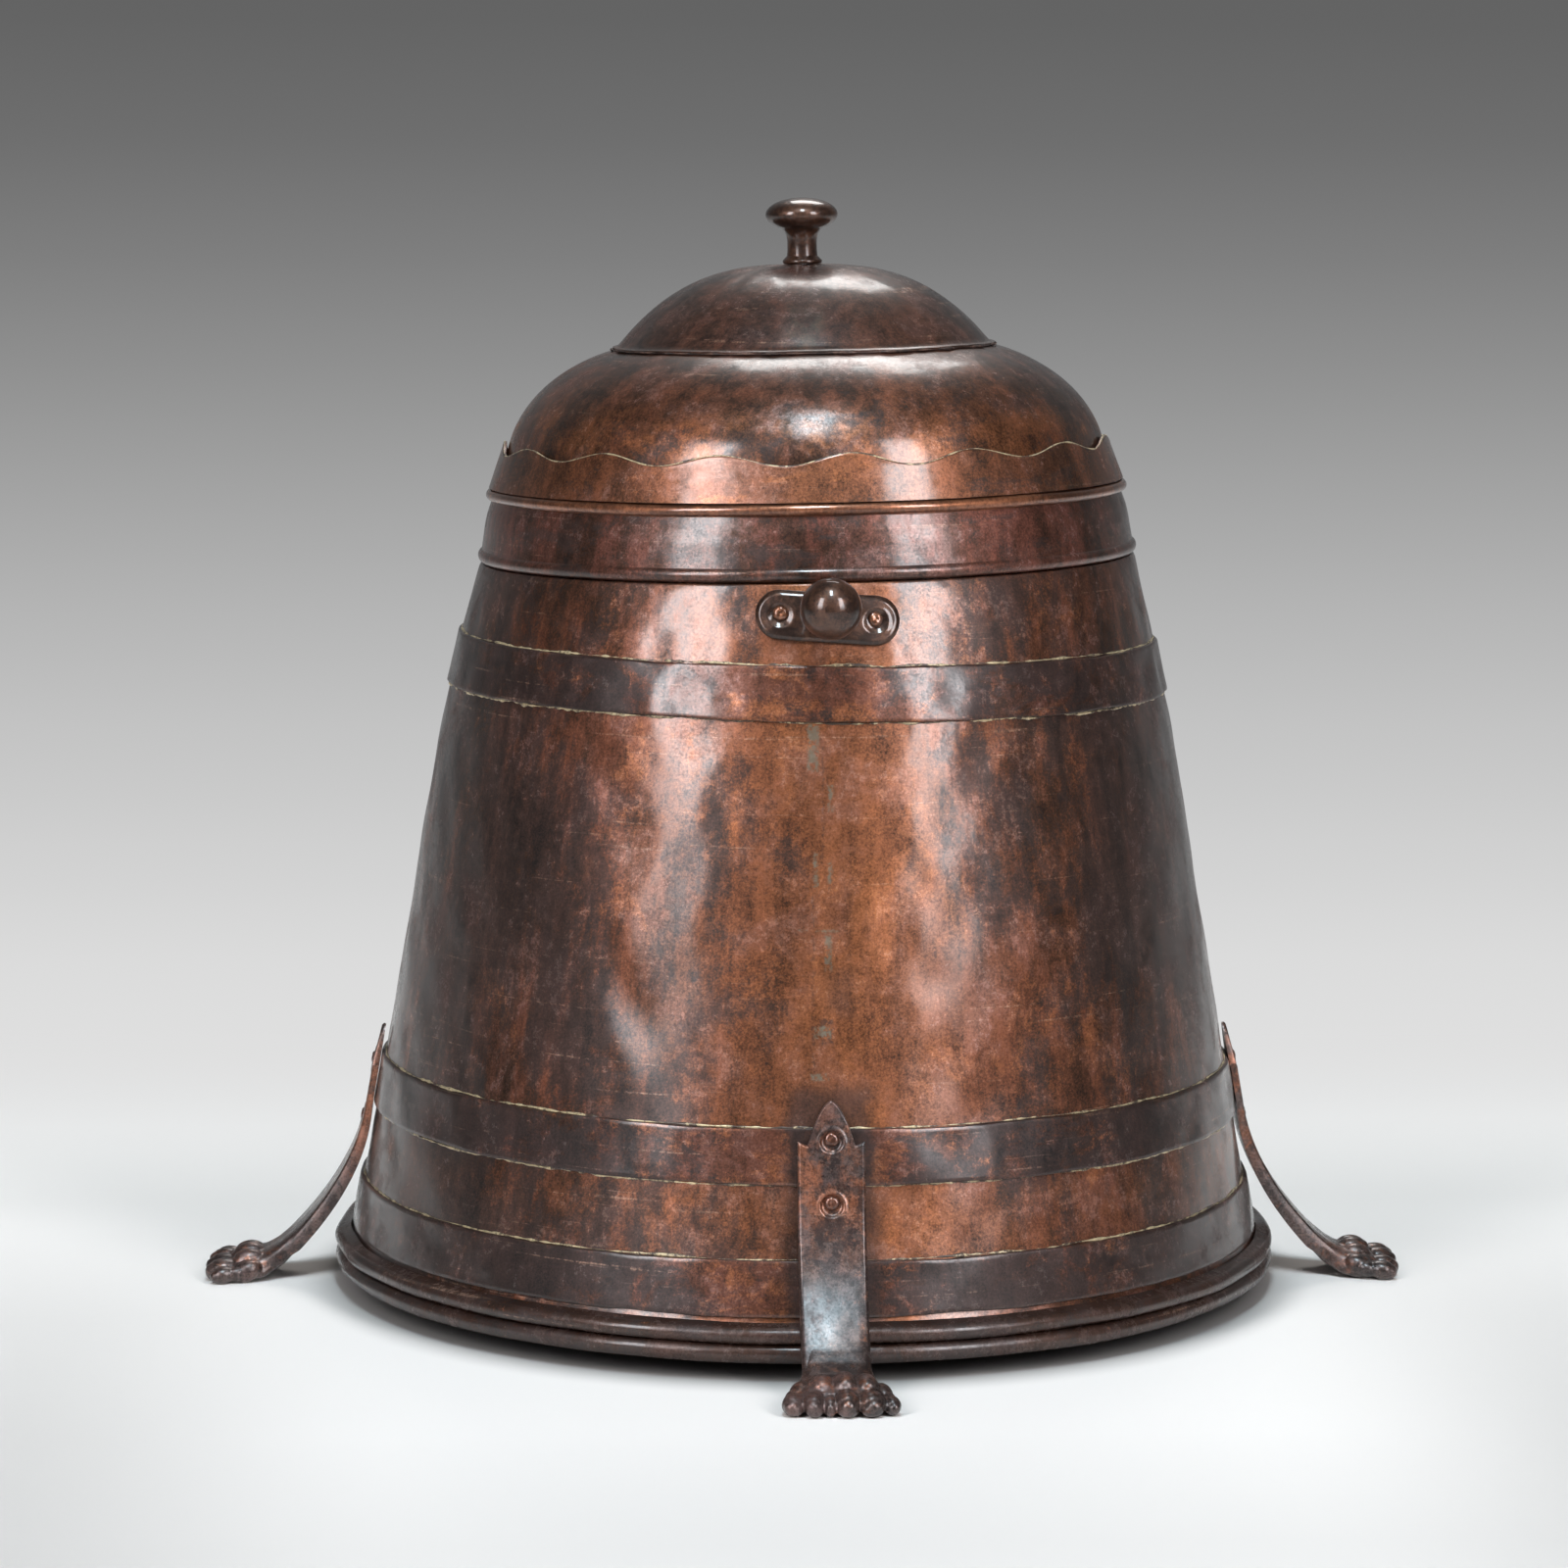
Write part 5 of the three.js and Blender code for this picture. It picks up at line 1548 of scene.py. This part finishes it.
def lid_knob_profile():
    """The lid knob's side view: a small foot, a waisted stem and a flattened head, half an ellipse."""
    foot = CROWN_TOP + FIT
    stem_top = foot + KNOB_FOOT_HEIGHT + KNOB_STEM_HEIGHT
    middle = stem_top + KNOB_HEIGHT / 2
    start = -math.degrees(math.acos(KNOB_UNDERCUT / KNOB_RADIUS))
    head = arc((0, middle), (KNOB_RADIUS, KNOB_HEIGHT / 2), start + 3, 90, 44)
    head[-1, 0] = 0
    return path(
        (0, foot),
        (KNOB_FOOT_RADIUS - 0.4, foot),
        arc((KNOB_FOOT_RADIUS - 1, foot + 1), 1, -40, 60, 6),
        (KNOB_STEM_RADIUS + 0.7, foot + KNOB_FOOT_HEIGHT * 0.8),
        (KNOB_STEM_RADIUS, foot + KNOB_FOOT_HEIGHT),
        (KNOB_STEM_RADIUS - 0.25, foot + KNOB_FOOT_HEIGHT + 3),
        (KNOB_STEM_RADIUS - 0.25, foot + KNOB_FOOT_HEIGHT + 7),
        (KNOB_STEM_RADIUS + 0.2, stem_top - 1.4),
        (KNOB_STEM_RADIUS + 1, stem_top - 0.2),
        head,
    )


lid_piece("knob", turned(lid_knob_profile(), 72), ["lid_knob"], knob_bronze)

for node, material in {
    "lid_rim_wire": iron,
    "lid_knob_washer": rivet_copper,
    "lid_knob_nut": iron,
    "handle_washer_front": rivet_copper,
    "handle_washer_rear": rivet_copper,
}.items():
    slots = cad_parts[node].data.materials
    slots.clear()
    slots.append(material)

# ---- Studio, in metres ----

VIEW_AZIMUTH = math.radians(-3.1)
SOFTBOX_TURN = math.radians(39)
SOFTBOX_DISTANCE = 2.2
SOFTBOX_FOOT = 0.35
SOFTBOX_TOP = 2.3
SOFTBOX_WIDTH = 0.66
SOFTBOX_COLOUR = (0.97, 0.965, 1)
SOFTBOX_STRENGTH = 14.3
# How bright a softbox is from its foot (0) to its top (1), as a share of its strength
SOFTBOX_FADE = [(0.0, 0.1), (0.05, 0.2), (0.13, 0.42), (0.2, 0.7), (0.3, 1.0), (0.85, 1.0), (1.0, 0.3)]


def softbox_face():
    """The glow of a softbox, weaker towards its foot and its top."""
    s = Shader("softbox")
    share = s.curve(s.math("ADD", s.height(), 0.5), SOFTBOX_FADE)
    strength = s.math("MULTIPLY", share, SOFTBOX_STRENGTH)
    glow = s.node("ShaderNodeEmission", {"Color": rgba(SOFTBOX_COLOUR), "Strength": strength})
    s.node("ShaderNodeOutputMaterial", {0: glow.outputs[0]})
    return s.material


def softbox(name, azimuth, material):
    """An upright panel, a unit high and then stretched, facing the axis and hidden from cameras."""
    x = SOFTBOX_WIDTH / 2
    corners = [(-x, 0, -0.5), (x, 0, -0.5), (x, 0, 0.5), (-x, 0, 0.5)]
    mesh = bpy.data.meshes.new(name)
    mesh.from_pydata(corners, [], [(0, 1, 2, 3)])
    mesh.materials.append(material)
    made = in_scene(name, mesh)
    out = Vector((math.sin(azimuth), -math.cos(azimuth), 0)) * SOFTBOX_DISTANCE
    made.location = out + Vector((0, 0, (SOFTBOX_FOOT + SOFTBOX_TOP) / 2))
    made.rotation_euler = (0, 0, azimuth)
    made.scale = (1, 1, SOFTBOX_TOP - SOFTBOX_FOOT)
    made.visible_camera = False


softbox_light = softbox_face()
softbox("softbox_left", VIEW_AZIMUTH - SOFTBOX_TURN, softbox_light)
softbox("softbox_right", VIEW_AZIMUTH + SOFTBOX_TURN, softbox_light)

LIT_POINT = Vector((0, 0, 0.4))


def lamp(name, place, size, energy, colour):
    """A rectangular lamp at a place, pointed at the lid."""
    light = bpy.data.lights.new(name, "AREA")
    light.shape = "RECTANGLE"
    light.size, light.size_y = size
    light.energy = energy
    light.color = colour
    made = in_scene(name, light)
    made.location = place
    made.rotation_euler = (LIT_POINT - made.location).to_track_quat("-Z", "Y").to_euler()


lamp("top_light", place=(-0.03, -1.15, 2.5), size=(0.34, 0.95), energy=40, colour=(0.72, 0.9, 1))
lamp("rear_light", place=(0.25, 1.7, 2.2), size=(1.0, 0.8), energy=16, colour=(1, 0.98, 0.96))

# The backdrop is a floor that turns up into a wall behind. Its shades are given by places along it,
# from PATH_START in front of the object.
FLOOR_FRONT = -4.0
FLOOR_BACK = 1.2
BEND_RADIUS = 1.2
WALL_TOP = 3.6
HALF_WIDTH = 4.5
PATH_START = -1.0
PATH_LENGTH = 5.0

# How light the background looks by y + z along the backdrop: from the front to far up behind
BACKGROUND = [
    (-0.46, 0.72),
    (-0.29, 0.74),
    (-0.09, 0.79),
    (0.16, 0.81),
    (0.47, 0.75),
    (0.88, 0.71),
    (1.36, 0.63),
    (1.67, 0.546),
    (1.92, 0.456),
    (2.14, 0.366),
    (2.35, 0.279),
    (2.54, 0.209),
    (2.72, 0.156),
    (2.89, 0.127),
    (3.2, 0.11),
]
# How pale the floor is at its middle and at its sides, the paint darker towards the front and the sides
# as painted shade where the light falls off, and the glow added to what is seen of it
MIDDLE_PAINT = [(-0.46, 0.65), (-0.29, 0.78), (-0.09, 0.8)]
SIDE_PAINT = [(-0.46, 0.51), (-0.29, 0.56), (-0.09, 0.66), (0.1, 0.8)]
FILL = [(-0.2, 0.0), (-0.09, 0.0), (0.16, 0.02), (0.35, 0.18)]
# The paint's tint, and the distances from the middle where it is all side paint and all middle paint
PAINT_TINT = (1.05, 1.0, 0.955)
MIDDLE_EDGE = (0.34, 0.16)
# A painted shadow under the base: the paint darkens to a share, between two distances from the middle
# of the floor
SHADOW_PAINT_REACH = (0.2, 0.235)
SHADOW_PAINT_SHARE = 0.25
# Where the paint gives way to a dark wall, and the floor's light to the background's own
DARK_WALL = (0.6, 1.6)
DARK_WALL_COLOUR = (0.12, 0.12, 0.12)
HORIZON = (0.1, 0.6)
GLOSSY_SHARE = 0.4


def floor_paint(s, depth, middle_level, side_level):
    """The floor's matte paint, with painted shade towards its sides and front and a painted shadow
    under the base, which gives way to a dark wall far behind.
    """
    off_middle = s.math("ABSOLUTE", s.node("ShaderNodeSeparateXYZ", {0: s.place}).outputs[0])
    # Painted shade: the paint is darker towards the sides
    middle = s.step(off_middle, *MIDDLE_EDGE)
    paint = s.math("MULTIPLY_ADD", middle, s.math("SUBTRACT", middle_level, side_level), side_level)
    # A painted shadow: the paint darkens close round the base
    away = s.node("ShaderNodeVectorMath", {0: s.place}, operation="LENGTH").outputs["Value"]
    paint = s.math("MULTIPLY", paint, s.step(away, *SHADOW_PAINT_REACH, SHADOW_PAINT_SHARE, 1.0))
    channels = {i: s.math("MULTIPLY", paint, share) for i, share in enumerate(PAINT_TINT)}
    painted = s.node("ShaderNodeCombineColor", channels).outputs[0]
    matte = s.node("ShaderNodeBsdfDiffuse", {"Color": painted}).outputs[0]
    dark = s.node("ShaderNodeBsdfDiffuse", {"Color": rgba(DARK_WALL_COLOUR)}).outputs[0]
    return s.node("ShaderNodeMixShader", {0: s.step(depth, *DARK_WALL), 1: matte, 2: dark}).outputs[0]


def backdrop_face():
    """Paint that takes the object's shadow near it, and a plain glow for the background beyond.

    Both go by y + z, which grows along the backdrop. The glow is for rays that come from the camera,
    that pass through something and, in part, that a glossy surface throws back; it lights nothing
    else. From behind, the backdrop is clear to the camera.
    """
    s = Shader("backdrop")
    parts = s.node("ShaderNodeSeparateXYZ", {0: s.place}).outputs
    depth = s.math("ADD", parts[1], parts[2])
    along = s.math("DIVIDE", s.math("SUBTRACT", depth, PATH_START), PATH_LENGTH, clamp=True)
    tone, middle_level, side_level, fill_level = (
        s.curve(along, [((place - PATH_START) / PATH_LENGTH, level) for place, level in stops])
        for stops in (BACKGROUND, MIDDLE_PAINT, SIDE_PAINT, FILL)
    )
    rays = s.node("ShaderNodeLightPath").outputs
    glossy = s.math("MULTIPLY", rays["Is Glossy Ray"], GLOSSY_SHARE)
    looking = s.most(rays["Is Camera Ray"], rays["Is Transmission Ray"], glossy)
    strength = s.math("MULTIPLY", looking, fill_level)
    fill = s.node("ShaderNodeEmission", {"Color": (1, 1, 1, 1), "Strength": strength}).outputs[0]
    lit = floor_paint(s, depth, middle_level, side_level)
    floor = s.node("ShaderNodeAddShader", {0: lit, 1: fill}).outputs[0]
    shade = s.node("ShaderNodeCombineColor", {0: tone, 1: tone, 2: tone}).outputs[0]
    glow = s.node("ShaderNodeEmission", {"Color": shade, "Strength": 1.0}).outputs[0]
    seen = s.math("MULTIPLY", looking, s.step(depth, *HORIZON))
    face = s.node("ShaderNodeMixShader", {0: seen, 1: floor, 2: glow}).outputs[0]
    back = s.node("ShaderNodeNewGeometry").outputs["Backfacing"]
    behind = s.math("MULTIPLY", back, rays["Is Camera Ray"])
    clear = s.node("ShaderNodeBsdfTransparent").outputs[0]
    face = s.node("ShaderNodeMixShader", {0: behind, 1: face, 2: clear}).outputs[0]
    s.node("ShaderNodeOutputMaterial", {0: face})
    return s.material


def backdrop():
    """The backdrop's side view, a floor, a quarter turn and a wall, carried from left to right."""
    bend = arc((FLOOR_BACK, BEND_RADIUS), BEND_RADIUS, -90, 0, 40)
    outline = path((FLOOR_FRONT, 0), (PATH_START, 0), bend, (FLOOR_BACK + BEND_RADIUS, WALL_TOP))
    x, y = np.meshgrid((-HALF_WIDTH, HALF_WIDTH), outline[:, 0])
    z = np.repeat(outline[:, 1:], 2, 1)
    mesh = bpy.data.meshes.new("backdrop")
    places = np.stack([x, y, z], -1).reshape(-1, 3)
    mesh.from_pydata(places.tolist(), [], grid_faces(len(outline), 2, False, False).tolist())
    mesh.shade_smooth()
    mesh.materials.append(backdrop_face())
    in_scene("backdrop", mesh)


backdrop()

WORLD_COLOUR = (1, 0.97, 0.95)
WORLD_STRENGTH = 0.06

world = bpy.data.worlds.new("studio")
world.use_nodes = True
sky = world.node_tree.nodes["Background"].inputs
sky["Color"].default_value = rgba(WORLD_COLOUR)
sky["Strength"].default_value = WORLD_STRENGTH
scene = bpy.context.scene
scene.world = world
scene.view_settings.view_transform = "Standard"

# ---- Camera ----

VIEW_DISTANCE = 2.213
VIEW_HEIGHT = 0.507
VIEW_DROP = math.radians(7.25)
VIEW_ROLL = math.radians(0.25)
VIEW_SIDESTEP = -0.00996
LENS_LENGTH = 112.5
SENSOR_WIDTH = 36

camera_data = bpy.data.cameras.new("camera")
camera_data.lens = LENS_LENGTH
camera_data.sensor_width = SENSOR_WIDTH
camera = in_scene("camera", camera_data)
aim = Matrix.Rotation(VIEW_AZIMUTH, 4, "Z") @ Matrix.Rotation(math.pi / 2 - VIEW_DROP, 4, "X")
aim = aim @ Matrix.Rotation(VIEW_ROLL, 4, "Z")
stand = Vector((math.sin(VIEW_AZIMUTH), -math.cos(VIEW_AZIMUTH), 0)) * VIEW_DISTANCE
stand += Vector((0, 0, VIEW_HEIGHT)) + aim.to_3x3() @ Vector((VIEW_SIDESTEP, 0, 0))
camera.matrix_world = Matrix.Translation(stand) @ aim
scene.camera = camera
